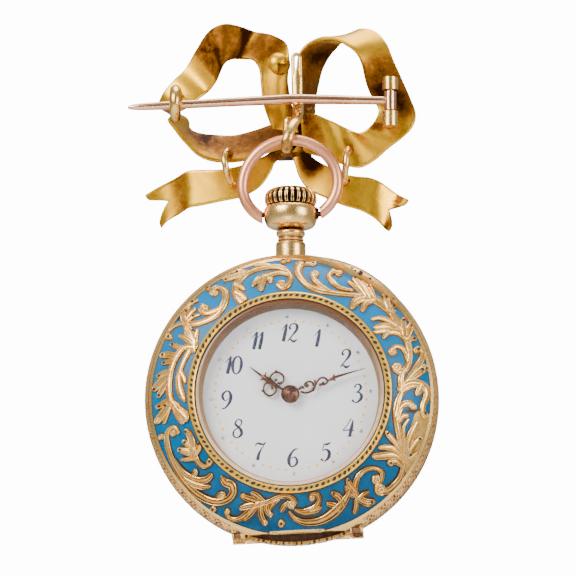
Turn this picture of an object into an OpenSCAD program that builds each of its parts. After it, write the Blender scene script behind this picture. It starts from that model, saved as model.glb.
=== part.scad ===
/* [Watch case] */
// Diameter of the case over its engraved rim
case_d = 30; // [29.8:0.1:30.4]
// Turn of the dial and the hinges against the pendant neck
dial_turn = 2.4; // [0:0.2:4]
// Thickness of the enamel on the front cover
enamel_t = 0.28; // [0.2:0.02:0.3]
// Radius of the glass
crystal_r = 9.62; // [9.55:0.01:9.64]
// Radius of the dial plate
dial_r = 9.3; // [9.1:0.1:9.35]
// Height of the chased gold scrolls over the enamel
scroll_h = 0.22; // [0.15:0.01:0.3]

/* [Hands] */
// Direction of the hour hand on the dial, in degrees from the 3
hour_at = 144; // [0:1:359]
// Direction of the minute hand on the dial, in degrees from the 3
minute_at = 16; // [0:1:359]
// Length of the hour hand
hour_l = 5.1; // [4.6:0.1:5.6]
// Length of the minute hand
minute_l = 8; // [7.5:0.1:8.4]

/* [Pendant] */
// Radius of the rose gold ring along the middle of its wire
ring_r = 4.96; // [4.9:0.02:5]
// Radius of the ring's wire
ring_wire_r = 0.59; // [0.5:0.01:0.6]
// Number of flutes round the crown
crown_flutes = 26; // [20:1:30]

/* [Brooch] */
// Thickness of the gold ribbon
ribbon_t = 0.42; // [0.36:0.02:0.46]
// Radius of the pin's stem
pin_r = 0.46; // [0.4:0.01:0.46]
// Radius of each of the hook's two wires
hook_wire_r = 0.27; // [0.24:0.01:0.28]
// Radius of the catch's wire
catch_wire_r = 0.58; // [0.5:0.01:0.6]

/* [Hidden] */

gold = "goldenrod";
pale_gold = "khaki";
rose_gold = "rosybrown";
hand_gold = "saddlebrown";

// Clearances: round what turns, between parts that lie on each other, and round hinge rods
turn_gap = 0.05;
seat_gap = 0.03;
rod_gap = 0.04;
round_fn = 120;
wire_fn = 64;

// The plane in which the ring and the watch hang, and the middle of the case
hang_y = -0.6;
case_x = 0.14;
case_z = -31.43;
case_r = case_d / 2;

// Heights in the case, along the dial's normal from the middle of the band
front_seam = 0.8;
back_seam = -1.2;
drum_h = 2.72;
dial_t = 0.3;
crystal_seat_h = 4.33;
bezel_h = 4.8;
drum_r = 9.4;
lip_r = 13.3;
cavity_r = 13.8;
lip_h = 0.3;
wall_t = 0.45;

// The enamelled dome is an arc turned round the case's axis
dome_curve_r = 10.16;
dome_curve_at = [case_r - 8.02, -5.05];
enamel_out_r = case_r - 0.75;
enamel_in_r = 10.45;

// The hinges at the bottom of the case, each with its place in the case's section,
// and the chord that the covers are cut along
front_hinge = [-13.68, 1.0];
back_hinge = [-14.1, -1.0];
cap_r = 0.5;
front_knuckle_r = 0.32;
front_knuckle_half = 2.5;
front_rod_r = 0.16;
back_tube_r = 0.4;
back_rod_r = 0.2;
hinge_half = 6.7;
cap_l = 1.3;
cover_cut_y = -14.0;
enamel_cut_y = -13.85;
hinge_room = 0.06;

// The thumb lip on the front cover's rim: the radius of its outside, and a cone that shapes its inside
lip_at = 56.9;
lip_round_r = 12;
lip_cone_x = -14;
lip_cone_r = 25.5;
lip_cone_slope = 1.1;

// The pendant: the pivots of the ring and the middle of the ring
pivot_z = -12;
ring_z = -9.12;
peg_r = 0.28;
peg_in = 2.2;
peg_out = 3.4;
collar_top = -11.15;
stem_r = 0.5;
spigot_r = 0.7;

// The brooch's pin: a stem with a slight knee over the hook, and its hinge
knee_z = 0.27;
pin_slope_left = 2.4;
pin_slope_right = 1.7;
taper_x = -13;
tip_x = -16.9;
barrel_x = 10.24;
barrel_r = 0.82;
pin_knuckle_r = 0.64;
pin_rivet_r = 0.3;
knuckle_top = 0.95;
knuckle_bottom = -1.07;

// Ribbons, a row for each section: the near edge x, y, z and the far edge x, y, z
loop_left = [
    [-2.0, 2.0, -2.5, 0.6, 3.6, -2.6],
    [-2.9, 1.9, 0.0, -0.1, 3.6, 0.4],
    [-3.2, 1.9, 2.1, -0.5, 3.4, 2.9],
    [-3.4, 2.0, 3.8, -0.3, 3.0, 4.9],
    [-4.0, 2.2, 4.8, -0.6, 2.6, 6.7],
    [-4.9, 2.6, 5.1, -2.0, 2.6, 7.6],
    [-6.0, 3.0, 5.2, -3.8, 3.6, 8.2],
    [-6.7, 2.2, 4.8, -5.3, 2.8, 8.6],
    [-7.1, 1.8, 4.2, -7.0, 2.2, 8.8],
    [-7.4, 1.8, 3.6, -8.6, 2.4, 8.1],
    [-7.9, 2.2, 2.6, -9.9, 2.8, 6.3],
    [-8.7, 2.7, 1.7, -11.1, 3.4, 4.4],
    [-9.7, 2.4, 0.9, -12.5, 3.2, 2.9],
    [-10.5, 2.0, 0.1, -13.6, 3.6, 1.5],
    [-11.9, 1.8, -0.7, -13.7, 4.8, 0.5],
    [-12.8, 1.8, -1.3, -11.2, 5.4, -0.1],
    [-12.0, 1.8, -2.5, -10.6, 5.4, -0.8],
    [-11.0, 1.9, -3.8, -9.9, 5.2, -1.9],
    [-9.6, 2.0, -5.2, -8.3, 5.1, -2.4],
    [-7.7, 2.2, -5.8, -6.2, 5.0, -2.5],
    [-5.2, 2.4, -5.7, -3.9, 4.8, -2.0],
    [-2.8, 2.6, -4.9, -1.8, 4.4, -1.4],
    [-0.5, 2.8, -4.2, 0.4, 4.2, -1.4]
];
loop_right = [
    [0.9, 2.1, -1.8, 2.2, 4.6, -0.3],
    [0.6, 2.0, 0.1, 2.2, 4.9, 0.8],
    [0.5, 2.0, 1.9, 2.5, 5.0, 2.5],
    [0.5, 2.1, 3.8, 3.0, 4.8, 4.4],
    [0.8, 2.1, 5.6, 3.8, 4.6, 5.8],
    [1.7, 2.0, 6.6, 4.4, 4.8, 6.6],
    [3.0, 2.0, 7.1, 5.0, 5.2, 7.4],
    [4.3, 1.9, 7.0, 5.9, 5.4, 8.2],
    [5.5, 1.8, 6.4, 7.2, 4.8, 8.6],
    [6.6, 1.8, 5.5, 8.6, 4.0, 8.1],
    [7.2, 2.0, 4.3, 9.7, 3.4, 6.8],
    [7.5, 2.3, 2.9, 10.5, 3.2, 4.9],
    [7.9, 2.6, 1.6, 11.4, 3.0, 2.8],
    [8.6, 2.7, 0.3, 12.2, 2.8, 0.9],
    [8.9, 2.6, -0.6, 12.8, 2.4, -0.9],
    [8.5, 2.2, -1.7, 12.5, 2.0, -2.4],
    [7.8, 2.0, -2.5, 11.4, 1.9, -3.6],
    [6.9, 2.2, -2.9, 10.0, 2.2, -4.6],
    [5.9, 2.8, -2.4, 8.5, 2.6, -5.8],
    [4.7, 2.8, -1.8, 6.9, 2.8, -6.5],
    [3.5, 2.4, -1.3, 5.0, 2.6, -6.1],
    [2.3, 2.4, -0.8, 3.2, 2.8, -5.4],
    [0.9, 3.0, -0.6, 1.2, 3.4, -4.7]
];
tail_left = [
    [0.0, 3.8, -4.7, -0.8, 3.2, -4.0],
    [-1.7, 3.5, -5.6, -2.4, 3.3, -4.7],
    [-2.2, 3.2, -6.7, -3.8, 3.2, -5.5],
    [-3.3, 3.0, -8.3, -5.2, 3.0, -6.0],
    [-5.1, 2.8, -9.4, -6.8, 2.8, -6.4],
    [-7.5, 2.9, -9.9, -8.3, 2.9, -6.5],
    [-9.4, 3.3, -10.2, -9.8, 3.3, -6.4],
    [-10.7, 3.6, -10.4, -11.0, 3.6, -6.5],
    [-11.7, 3.0, -11.1, -12.2, 3.0, -7.3],
    [-12.5, 2.5, -11.9, -13.6, 2.5, -8.3],
    [-13.0, 2.4, -12.8, -14.9, 2.2, -9.2]
];
tail_right = [
    [-0.2, 3.8, -4.7, 0.6, 3.2, -4.0],
    [0.2, 3.5, -5.9, 1.5, 3.3, -4.7],
    [0.7, 3.2, -7.4, 2.6, 3.2, -5.6],
    [1.7, 3.0, -8.7, 3.8, 3.0, -6.3],
    [3.5, 2.8, -9.7, 5.1, 2.8, -7.0],
    [5.3, 2.8, -10.5, 6.6, 2.8, -7.3],
    [7.0, 3.0, -11.0, 7.9, 3.0, -7.4],
    [8.2, 3.2, -11.6, 9.0, 3.2, -7.8],
    [9.0, 3.0, -12.3, 10.0, 3.0, -8.6],
    [9.5, 2.8, -12.9, 11.0, 2.6, -9.4],
    [9.9, 2.2, -13.3, 12.0, 2.0, -10.0]
];
knot = [
    [-1.3, 3.1, -0.6, 1.7, 3.1, -0.2],
    [-1.7, 4.4, -0.2, 2.1, 4.4, 0.2],
    [-1.7, 5.5, -0.9, 2.1, 5.5, -0.6],
    [-1.4, 6.1, -2.6, 1.8, 6.1, -2.4],
    [-1.6, 5.6, -4.2, 1.9, 5.6, -4.1],
    [-1.6, 4.6, -5.1, 1.8, 4.6, -5.0],
    [-1.2, 3.2, -4.9, 1.4, 3.2, -4.8]
];

// Wires of the braces between loops and tails, a row for each bend: x, y, z
brace_left = [
    [-6.4, 3.6, -4.9], [-6.6, 1.5, -4.8], [-6.9, 0.6, -5.7],
    [-6.7, 0.6, -7.0], [-6.4, 1.6, -7.9], [-6.3, 2.8, -8.1]
];
brace_right = [
    [5.7, 2.6, -4.9], [5.8, 1.4, -4.8], [5.7, 0.7, -5.7],
    [5.6, 0.7, -6.9], [5.4, 1.5, -7.9], [5.3, 2.7, -8.1]
];
brace_wire_r = 0.36;

// The hook's route from the top of its shank to its tip: x, y, z of its middle
hook_route = [
    [0.5, 1.2, 4.9], [0.55, 1.2, 3.0], [0.6, 1.2, 0.9], [0.68, 1.12, -0.3], [0.66, 0.5, -1.35],
    [0.4, -0.7, -2.3], [0.0, -1.5, -3.4], [-0.3, -1.75, -4.4], [-0.4, -1.4, -5.0],
    [-0.4, -0.6, -5.21], [-0.4, 0.25, -4.8], [-0.4, 0.75, -3.8], [-0.35, 0.85, -2.7], [-0.3, 0.8, -1.5]
];

// Half the distance between the hook's two strands, at the top and at the bend
hook_half_top = 0.37;
hook_half_bend = 0.31;

// Scrolls on the enamel, drawn in their own units with the case's middle at drawing_mid:
// a row for each stroke, of points x (right), y (down) and width
drawing_mid = [290.8, 393.9];
drawing_unit = [0.1028, 0.1047];
scrolls = [
    // From the top, clockwise: the first stem with its head and two curls
    [[300, 266, 10], [298.5, 273, 8.5], [303, 281, 7], [310, 287, 7], [320, 291, 7], [332, 293.5, 6],
        [345, 295.5, 5], [360, 297, 5]],
    [[302, 264.5, 7], [309, 264.5, 5.5], [314, 265, 6]],
    [[330, 292, 4], [321, 286.5, 5], [315, 281, 6], [313.5, 276, 7]],
    [[352, 292, 3], [340, 289, 4.5], [332, 283, 5.5], [329.5, 277, 6], [333, 273, 5.5], [339, 274, 6]],
    // the leaf that it opens into, with its lobes
    [[360, 297, 6], [370, 299, 10], [379, 303.5, 10], [387, 310, 9], [393, 317, 7]],
    [[366, 297, 6], [357, 289.5, 6.5], [349, 284, 3.5]],
    [[368, 298, 7], [361, 288, 7], [354, 280.5, 5]],
    [[371, 299, 6], [366, 290, 6], [362, 284, 4]],
    [[373, 300, 6], [371, 293, 6], [368, 287, 4.5]],
    [[372, 300, 9], [362, 300, 9], [355.5, 303, 9], [352.5, 308, 6]],
    [[373, 302, 7], [366, 304.5, 8], [362.5, 311, 5.5]],
    [[388, 309, 6], [386, 302, 6.5], [384, 296.5, 4]],
    [[388, 311, 7], [391.5, 308.5, 6.5], [393.5, 308, 4.5]],
    [[389, 312, 7], [392.5, 313.5, 5]],
    // the second leaf on the right
    [[392, 316, 7], [398, 325, 8], [403, 335, 9], [407, 344, 7], [409, 354, 5.5], [408.5, 363, 5.5],
        [405, 370, 6], [399, 373, 6], [394.5, 370, 6]],
    [[401, 330, 7], [389, 322.5, 6.5], [379, 319.5, 5], [372, 320.5, 3.5]],
    [[401, 333, 8], [387, 327.5, 8], [376, 328, 6]],
    [[400, 335, 7], [387, 331.5, 8], [375.5, 332.5, 5]],
    [[404, 339, 6], [397, 333.5, 8], [388, 333.5, 7], [383.5, 338, 4.5]],
    [[404, 337, 6], [403, 329, 6.5], [402.5, 321.5, 5]],
    [[406, 339, 7], [408.5, 331.5, 8.5], [410.5, 326.5, 6]],
    [[407, 343, 6], [410, 340.5, 7], [413.5, 340.5, 5.5]],
    [[406.5, 361, 4], [405.5, 355, 5.5], [401.5, 349.5, 5], [395, 347.7, 4.5], [390, 351, 4]],
    [[402, 373, 4], [400, 379, 6], [400, 385, 6], [400, 391, 5]],
    // the outer leaf on the right
    [[403, 384, 4], [411, 376, 7], [417, 367, 7], [421, 360, 6], [422, 353.5, 5.5], [418, 350, 5.5]],
    [[413, 378, 6], [419, 373, 8], [424, 369, 7]],
    [[399, 389, 6], [407, 384.5, 8], [416, 384, 9], [424, 388.5, 8.5], [426, 396, 7.5], [422.5, 405, 6],
        [421.5, 412, 6], [424, 416.5, 7]],
    [[420, 387, 8], [418, 392, 7], [416, 395, 5]],
    // the stem down the right side
    [[416, 386.5, 4], [407, 388.5, 5], [401, 393, 5], [397, 401, 6], [395.5, 411, 7], [396, 421, 7],
        [398, 433, 7], [400.5, 446, 6.5], [403, 458, 5], [404, 466, 3]],
    [[396, 417, 6], [399, 408.5, 6.5], [404.5, 404, 7], [410, 405, 7], [412.5, 408, 6]],
    [[398, 421, 5], [401.5, 416.5, 5.5], [405.5, 416, 5]],
    [[407, 420, 3], [402.7, 428, 3.5], [403, 443, 3.5], [404.3, 460, 2.5]],
    [[404, 464, 3], [406, 449, 5.5], [410, 436, 8], [415.5, 424, 5]],
    [[405, 464, 3], [409.5, 451, 6], [414.5, 443, 6.5], [419, 438, 4]],
    [[406, 463, 3], [411, 457, 5], [416, 453, 4]],
    [[401, 452, 4], [394, 442, 5.5], [388.5, 435, 6.5], [386, 431.5, 4.5]],
    [[401.5, 457, 4], [393, 448.5, 6], [386, 446.5, 6.5], [379.5, 446.5, 4.5]],
    [[402, 461, 5], [393.5, 455, 7.5], [383, 455, 8.5], [374.5, 455, 7]],
    [[402, 467, 5], [396, 461.5, 7], [390, 461.5, 6]],
    [[403.5, 463, 4], [401.3, 471, 5], [398, 479.5, 5.5], [391.5, 486.5, 6], [385.5, 490.5, 6.5],
        [380, 490, 6.5]],
    // the scroll at the lower right
    [[380.5, 479, 5], [381.3, 472, 5], [375, 467.5, 4.5], [367, 467.7, 4.5], [359.5, 472, 5],
        [355.5, 480, 6], [354.7, 488, 6], [357, 495, 6], [364, 499.5, 6], [373, 500.5, 4]],
    [[358, 498, 5], [366, 502.5, 6], [372, 501.5, 4]],
    [[359, 497, 4], [363, 493.5, 5], [367.5, 491, 3]],
    [[354.5, 489, 6], [350, 484, 7], [347.5, 478, 5]],
    [[353, 494, 5], [348, 491, 5], [346, 485.5, 4]],
    [[356, 499, 4.5], [356, 505, 5], [354, 511, 4]],
    // the stem along the bottom, with its lobes, the inner curl and the rosette
    [[290.5, 510, 3], [295, 516, 4.5], [304, 520, 6], [316, 520, 7], [326, 516.5, 8], [335, 510, 9],
        [342, 502.5, 8], [347, 494.5, 6], [349.5, 487, 4]],
    [[343, 503, 6], [339, 495.5, 7], [333, 491, 5]],
    [[338, 508, 6], [334.5, 504, 6.5], [328.5, 502, 5]],
    [[310.5, 496, 4], [312, 491.7, 4], [317.3, 492, 5], [319.3, 497.5, 5], [316.5, 503.5, 5.5],
        [311, 507, 5.5], [303, 509, 5], [296.5, 508, 4]],
    [[311, 508, 5], [316, 507.5, 6.5], [320.5, 506, 3.5]],
    [[298, 509, 3], [306, 511.5, 4], [315, 510.3, 3]],
    [[289.5, 499.5, 4], [285.5, 503, 5.5], [282.5, 507.5, 5]],
    // the leaf left of it
    [[229, 509, 5], [229.5, 514.5, 4], [236, 517, 4.5], [243, 515, 5.5], [250, 509.5, 7], [257, 502.5, 6],
        [265, 500, 5], [271, 498, 5], [278, 494.5, 5], [285.5, 493, 4.5], [292.5, 495, 4.5],
        [296, 499.5, 4]],
    [[264, 499.5, 5], [253, 497, 7], [243.5, 493.3, 5.5]],
    [[264, 498, 5], [258, 493, 6.5], [253.5, 490, 5]],
    [[260, 502, 5], [250, 503.5, 6.5], [242.5, 505.5, 5]],
    [[257, 504, 6], [251, 511, 7], [246.5, 516.5, 4.5]],
    [[262, 502, 5], [262, 512, 6.5], [265.5, 520, 5.5]],
    [[268, 500, 6], [267.5, 507, 6], [271.3, 512.3, 4.8]],
    [[279, 496.5, 4], [274, 500.5, 5], [271, 506.5, 3]],
    // the large scroll at the lower left
    [[180, 430.5, 4], [177, 425.7, 4.5], [171.5, 427.5, 5], [168.7, 434, 5.5], [169.5, 444, 5.5],
        [173, 456, 6], [179, 468, 6], [187, 480, 6.5], [197, 490.3, 7], [209, 497.5, 7], [220, 499.7, 7.5],
        [229.5, 496.3, 7.5], [234.3, 489.5, 8], [232.5, 482, 9], [226.5, 479.3, 8.5], [223, 474, 3]],
    [[176, 458, 4], [183, 468, 5.5], [191, 474.5, 6.5], [200, 478, 7], [208, 477, 7.5], [212, 473.5, 6.5]],
    [[192, 474, 4], [197, 472, 5.5], [197, 468.3, 4.5]],
    [[186, 476.5, 4], [195, 482, 5], [204, 484.7, 5.5], [211, 484, 3.5]],
    [[219, 497, 5], [221, 492.3, 5], [225, 491.5, 5]],
    [[211, 461.5, 4.5], [206, 464, 5], [200, 460, 5.5], [196, 453, 7], [194, 446, 8], [193, 438, 8],
        [190.3, 431.5, 6.5], [188, 428.3, 4.5]],
    [[194, 446, 7], [189.5, 442.5, 6.5], [186, 439.5, 5]],
    [[195, 452, 6.5], [188, 449.5, 8], [181.5, 447.3, 5]],
    [[197, 456, 5], [191, 457, 5], [184.5, 457.3, 4]],
    [[197, 451, 6.5], [200, 445.5, 7], [200.5, 440.5, 5]],
    // the leaves up the left side
    [[194, 346, 9], [186, 347, 6], [180, 353, 7], [175, 362, 7], [171.7, 373, 7], [170.7, 385, 7],
        [172, 397, 7], [176, 404, 8.5], [182, 411, 10], [186, 415, 12]],
    [[176, 404, 7], [180, 412, 9], [184, 418.5, 8]],
    [[177, 404, 7], [184, 411, 10], [190, 413, 6.5]],
    [[174, 401, 6], [179, 404, 6], [182, 406, 3.5]],
    [[172, 401, 7], [166.5, 410, 9.5], [160, 418.3, 8.5]],
    [[171, 405, 6], [168, 413, 6.5], [166.5, 420.5, 4]],
    [[172, 399, 7], [166, 402, 7.5], [160, 405.3, 6]],
    [[171, 374, 7], [163, 380.5, 9.5], [157, 387, 7.5]],
    [[171, 371, 7], [165, 372.5, 7], [160, 375.3, 4.5]],
    [[169, 380, 6], [164.5, 387.5, 7], [160.7, 394.5, 5]],
    [[178, 355, 7], [171, 354, 8], [165, 354.3, 7.5]],
    [[176, 359, 6], [170, 361, 5.5], [165.3, 362.3, 4.5]],
    [[186, 347.5, 6], [179, 346.3, 6.5], [173.5, 343.7, 4.5]],
    [[192, 348, 8], [188.5, 354, 6], [184.5, 362, 5.5], [181.3, 371, 6], [180.3, 379, 7], [181.5, 388, 8],
        [184, 394.5, 6.5], [186, 398.7, 3]],
    [[182, 371, 5], [185, 375.5, 6], [186.3, 380, 4]],
    [[196, 348, 9], [194.5, 341, 9.5], [192, 333, 9], [189, 327, 6.5]],
    [[192, 341, 7], [187.5, 337.7, 7], [182.5, 335.3, 4.5]],
    [[196, 341, 7], [197, 335, 6.5], [198.5, 330.3, 4.5]],
    [[192, 337, 7], [188.5, 331.5, 6.5], [187.3, 327, 4.5]],
    [[168.5, 337, 4], [168.7, 331.7, 4.5], [173, 327, 4.5], [180, 323.6, 4.5], [187, 322.5, 5]],
    // the curls at the upper left
    [[188, 323, 7], [184.7, 317, 7], [187, 308, 7.5], [192, 302.5, 6], [198, 300.7, 3.5]],
    [[188, 318, 6], [192, 312.3, 6.5], [196, 309.5, 4]],
    [[190, 320, 5], [195, 316, 5], [200, 315, 3.5]],
    [[186, 323.3, 7], [196, 323.7, 7], [206, 321, 6.5], [216, 315.7, 7], [223, 308, 7.5], [226.7, 299, 7.5],
        [225.5, 291, 7], [219.5, 287.7, 5], [213.8, 290.3, 4.5], [213, 294.3, 4]],
    [[222, 308, 5], [214, 311.7, 6], [206, 313, 6.5], [202, 309.3, 5], [204, 305.7, 4.5]],
    // the scroll that comes back to the top
    [[246, 304, 6], [240, 299.5, 7.5], [236.3, 292, 8], [238, 284, 8], [243, 277.3, 7.5],
        [250.5, 272.3, 6.5], [260, 269, 6.5], [270, 267.7, 6], [280, 268.3, 6], [288, 272.3, 5.5],
        [291.3, 279, 5.5], [288.5, 286, 6], [283, 288.5, 5], [278.7, 285.7, 4.5]],
    [[237, 285, 7], [241, 287, 6.5], [244.5, 289.3, 4.5]],
    [[238, 293, 7], [243, 295.5, 6.5], [246.3, 298.5, 5]],
    [[245, 275, 6], [235, 277.3, 6.5], [226, 280.3, 5]],
    [[248, 273, 5], [241, 272.3, 5], [236.5, 273.5, 3.5]],
    [[270, 267, 4.5], [262, 265.3, 4.5], [254.5, 265.7, 3.5]],
    [[288, 276, 3.5], [280, 274, 4.5], [271, 275.5, 7], [262, 279, 9], [256.5, 283, 6], [254, 286.3, 3]],
    [[265, 279, 8], [262.5, 285, 8], [262, 289.3, 6.5]],
    [[268, 277, 7], [271, 280, 6.5], [271.5, 282.3, 5]]
];

// Round ends of the curls, and grains between them: x, y, radius, in the same drawing
knobs = [
    [315.5, 275.5, 4.5], [339, 275, 4], [396.3, 368.3, 5.8], [392, 352.7, 4.8], [415.7, 352, 3.8],
    [424, 369, 4.3], [424, 416.5, 4.2], [412, 407.3, 3.8], [389.5, 462.5, 3.4], [379.5, 489, 6.2],
    [376, 479, 5.4], [312.3, 495.7, 3.2], [292, 502, 4.6], [228.7, 509.3, 3.2], [244.5, 493.2, 2.9],
    [266, 520.3, 3], [271.5, 512.4, 2.7], [175.5, 431.3, 4.8], [211.3, 458.5, 3.8], [223.7, 494, 3.2],
    [159.7, 418.7, 4.3], [164.7, 354.3, 3.8], [170.5, 336.3, 3.8], [216, 293.5, 3.8], [206, 308, 4.4],
    [281.7, 284.3, 4.4], [284, 262, 3.6], [289, 261.3, 2.6], [282, 521.3, 3.8], [214.5, 507, 3.6],
    [163, 435, 3.5], [209, 288.3, 3]
];

// A smooth curve through table rows
function curve_part(a, b, c, d, t) =
    (2 * b + (c - a) * t + (2 * a - 5 * b + 4 * c - d) * t * t + (3 * b - a - 3 * c + d) * t * t * t) / 2;
function row_at(rows, s) =
    let (n = len(rows) - 1, i = min(floor(s), n - 1))
    curve_part(rows[max(i - 1, 0)], rows[i], rows[i + 1], rows[min(i + 2, n)], s - i);
function unit(v) = v / norm(v);
function near_edge(row) = [row[0], row[1], row[2]];
function far_edge(row) = [row[3], row[4], row[5]];

// A point of a ribbon at s rows along and u across, whose end is cut to a swallow tail
function notched(s, u, rows, notch) = s * (1 - notch * (1 - abs(2 * u - 1)) / (len(rows) - 1));
function ribbon_mid(rows, s, u) =
    let (row = row_at(rows, s)) near_edge(row) * (1 - u) + far_edge(row) * u;
function ribbon_normal(rows, s) =
    let (n = len(rows) - 1, ds = 0.05, row = row_at(rows, s),
        along = ribbon_mid(rows, min(s + ds, n), 0.5) - ribbon_mid(rows, max(s - ds, 0), 0.5))
    unit(cross(far_edge(row) - near_edge(row), along));
function ribbon_point(rows, s, u, side, notch) =
    let (at = notched(s, u, rows, notch))
    ribbon_mid(rows, at, u) + ribbon_normal(rows, at) * side * ribbon_t / 2;

// Faces of a skin over rings of m points each, closed by a cap at both ends
function skin_faces(rings, m) = concat(
    [for (i = [0:rings - 2]) for (j = [0:m - 1])
        [i * m + j, i * m + (j + 1) % m, (i + 1) * m + (j + 1) % m]],
    [for (i = [0:rings - 2]) for (j = [0:m - 1])
        [i * m + j, (i + 1) * m + (j + 1) % m, (i + 1) * m + j]],
    cap_faces(0, m, false),
    cap_faces((rings - 1) * m, m, true));

// A cap: a strip of triangles between the two halves of its ring, facing along the skin or against it
function cap_faces(first, m, along) = [for (k = [0:m / 2 - 2])
    for (tri = [[k, k + 1, m - 2 - k], [k, m - 2 - k, m - 1 - k]])
        along ? [first + tri[0], first + tri[1], first + tri[2]]
            : [first + tri[2], first + tri[1], first + tri[0]]];

module ribbon(rows, steps = 4, across = 1, notch = 0) {
    n = (len(rows) - 1) * steps;
    rings = [for (i = [0:n]) concat(
        [for (j = [0:across]) ribbon_point(rows, i / steps, j / across, -1, notch)],
        [for (j = [across:-1:0]) ribbon_point(rows, i / steps, j / across, 1, notch)])];
    polyhedron([for (ring = rings) each ring], skin_faces(n + 1, 2 * across + 2));
}

// A round wire along a route, drawn as rounded links between its points
module bent_wire(route, r, steps) {
    n = (len(route) - 1) * steps;
    for (i = [0:n - 1])
        hull() {
            translate(row_at(route, i / steps)) sphere(r, $fn = 8);
            translate(row_at(route, (i + 1) / steps)) sphere(r, $fn = 8);
        }
}

// A boss on the back of the bow with a short peg, over the end of the rivet that holds its front
module boss() {
    boss_r = 1.3;
    boss_at = [-1.5, 2.9, 4.6];
    difference() {
        translate(boss_at) sphere(boss_r, $fn = 24);
        translate([boss_at[0], 0, boss_at[2] - boss_r]) cube([2 * boss_r, 2.3, boss_r - 0.2]);
    }
    translate([boss_at[0] + 0.2, 2.5, 5.04]) rotate([0, 90, 0]) cylinder(r = 0.42, h = 0.95, $fn = 16);
}

module bow() {
    color(gold) union() {
        ribbon(loop_left);
        ribbon(loop_right);
        ribbon(tail_left, 4, 2, 1.4);
        ribbon(tail_right, 4, 2, 1.4);
        ribbon(knot);
        bent_wire(brace_left, brace_wire_r, 2);
        bent_wire(brace_right, brace_wire_r, 2);
        boss();
    }
}

// The hook is one wire bent double and closed at both ends, so a slit runs along its middle.
// Directions at s rows along its route: on along the route, across the slit, and through the hook
function route_along(s) =
    let (n = len(hook_route) - 1)
    unit(row_at(hook_route, min(s + 0.05, n)) - row_at(hook_route, max(s - 0.05, 0)));
function hook_side(s) = unit(cross(route_along(s), cross([1, 0, 0], route_along(s))));
function hook_depth(s) = cross(route_along(s), hook_side(s));
function hook_half(s) = hook_half_top + (hook_half_bend - hook_half_top) * min(s / 8, 1);

// Faces of a skin over rings of m points each, the last ring joined to the first
function loop_faces(rings, m) = concat(
    [for (i = [0:rings - 1]) for (j = [0:m - 1])
        [i * m + j, (i + 1) % rings * m + (j + 1) % m, i * m + (j + 1) % m]],
    [for (i = [0:rings - 1]) for (j = [0:m - 1])
        [i * m + j, (i + 1) % rings * m + j, (i + 1) % rings * m + (j + 1) % m]]);

module watch_hook() {
    n = len(hook_route) - 1;
    steps = 3;
    sides = 8;
    // Stations of the wire: rows along the route, distance across it, distance beyond its end
    stations = concat(
        [for (i = [0:n * steps]) [i / steps, hook_half(i / steps), 0]],
        [for (a = [45:45:135]) [n, hook_half(n) * cos(a), hook_half(n) * sin(a)]],
        [for (i = [n * steps:-1:0]) [i / steps, -hook_half(i / steps), 0]],
        [for (a = [45:45:135]) [0, -hook_half(0) * cos(a), -hook_half(0) * sin(a)]]);
    count = len(stations);
    path = [for (st = stations)
        row_at(hook_route, st[0]) + hook_side(st[0]) * st[1] + route_along(st[0]) * st[2]];
    color(gold) polyhedron(
        [for (i = [0:count - 1])
            let (on = unit(path[(i + 1) % count] - path[(i + count - 1) % count]),
                v = hook_depth(stations[i][0]), u = unit(cross(v, on)))
            for (j = [0:sides - 1])
                path[i] + (u * cos(360 * j / sides) + v * sin(360 * j / sides)) * hook_wire_r],
        loop_faces(count, sides));
}

// The catch: a thick wire that rises from the ribbon, runs over the pin and curls under it
catch_x = -11.9;
catch_z = -0.05;
catch_bend_r = 1.33;
catch_foot_y = 2.3;
module pin_catch() {
    color(pale_gold) translate([catch_x, 0, catch_z]) {
        rotate([0, 90, 0]) rotate([0, 0, 180])
            rotate_extrude(angle = 205, $fn = 72)
                translate([catch_bend_r, 0]) circle(catch_wire_r, $fn = wire_fn);
        translate([0, 0, catch_bend_r]) rotate([-90, 0, 0])
            cylinder(r = catch_wire_r, h = catch_foot_y, $fn = wire_fn);
    }
}

// Two outer knuckles on feet, joined by the rivet that the pin turns on
module hinge_barrel() {
    foot_w = 1.1;
    color(pale_gold) translate([barrel_x, 0, 0]) {
        translate([0, 0, 1.08]) cylinder(r = barrel_r, h = 1.3, $fn = 48);
        translate([0, 0, -2.72]) cylinder(r = barrel_r, h = 1.52, $fn = 48);
        translate([0, 0, -2.5]) cylinder(r = pin_rivet_r, h = 4.5, $fn = wire_fn);
        translate([-foot_w / 2, 0, 1.2]) cube([foot_w, 2.3, 1.0]);
        translate([-foot_w / 2, 0, -2.5]) cube([foot_w, 1.6, 1.1]);
    }
}

module pin_stem() {
    color(rose_gold) difference() {
        union() {
            translate([0, 0, knee_z]) {
                sphere(pin_r + 0.02, $fn = wire_fn);
                rotate([0, 90 + pin_slope_right, 0]) cylinder(r = pin_r, h = barrel_x, $fn = wire_fn);
                rotate([0, -90 - pin_slope_left, 0]) {
                    cylinder(r = pin_r, h = -taper_x, $fn = wire_fn);
                    translate([0, 0, -taper_x])
                        cylinder(r1 = pin_r, r2 = 0.06, h = taper_x - tip_x, $fn = wire_fn);
                }
            }
            translate([barrel_x, 0, knuckle_bottom])
                cylinder(r = pin_knuckle_r, h = knuckle_top - knuckle_bottom, $fn = 48);
        }
        translate([barrel_x, 0, -3]) cylinder(r = pin_rivet_r + rod_gap, h = 6, $fn = wire_fn);
    }
}

// The ring's wire runs round the top at its full radius, and its two ends turn in more closely.
// A bent piece of the wire, about a centre that lies off the ring's on the line from it at an angle
module ring_bend(at, off, r, from, to) {
    translate([off * cos(at), off * sin(at), 0]) rotate([0, 0, from])
        rotate_extrude(angle = to - from, $fn = 96)
            translate([ring_r - off, 0]) circle(r, $fn = wire_fn);
}

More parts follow.
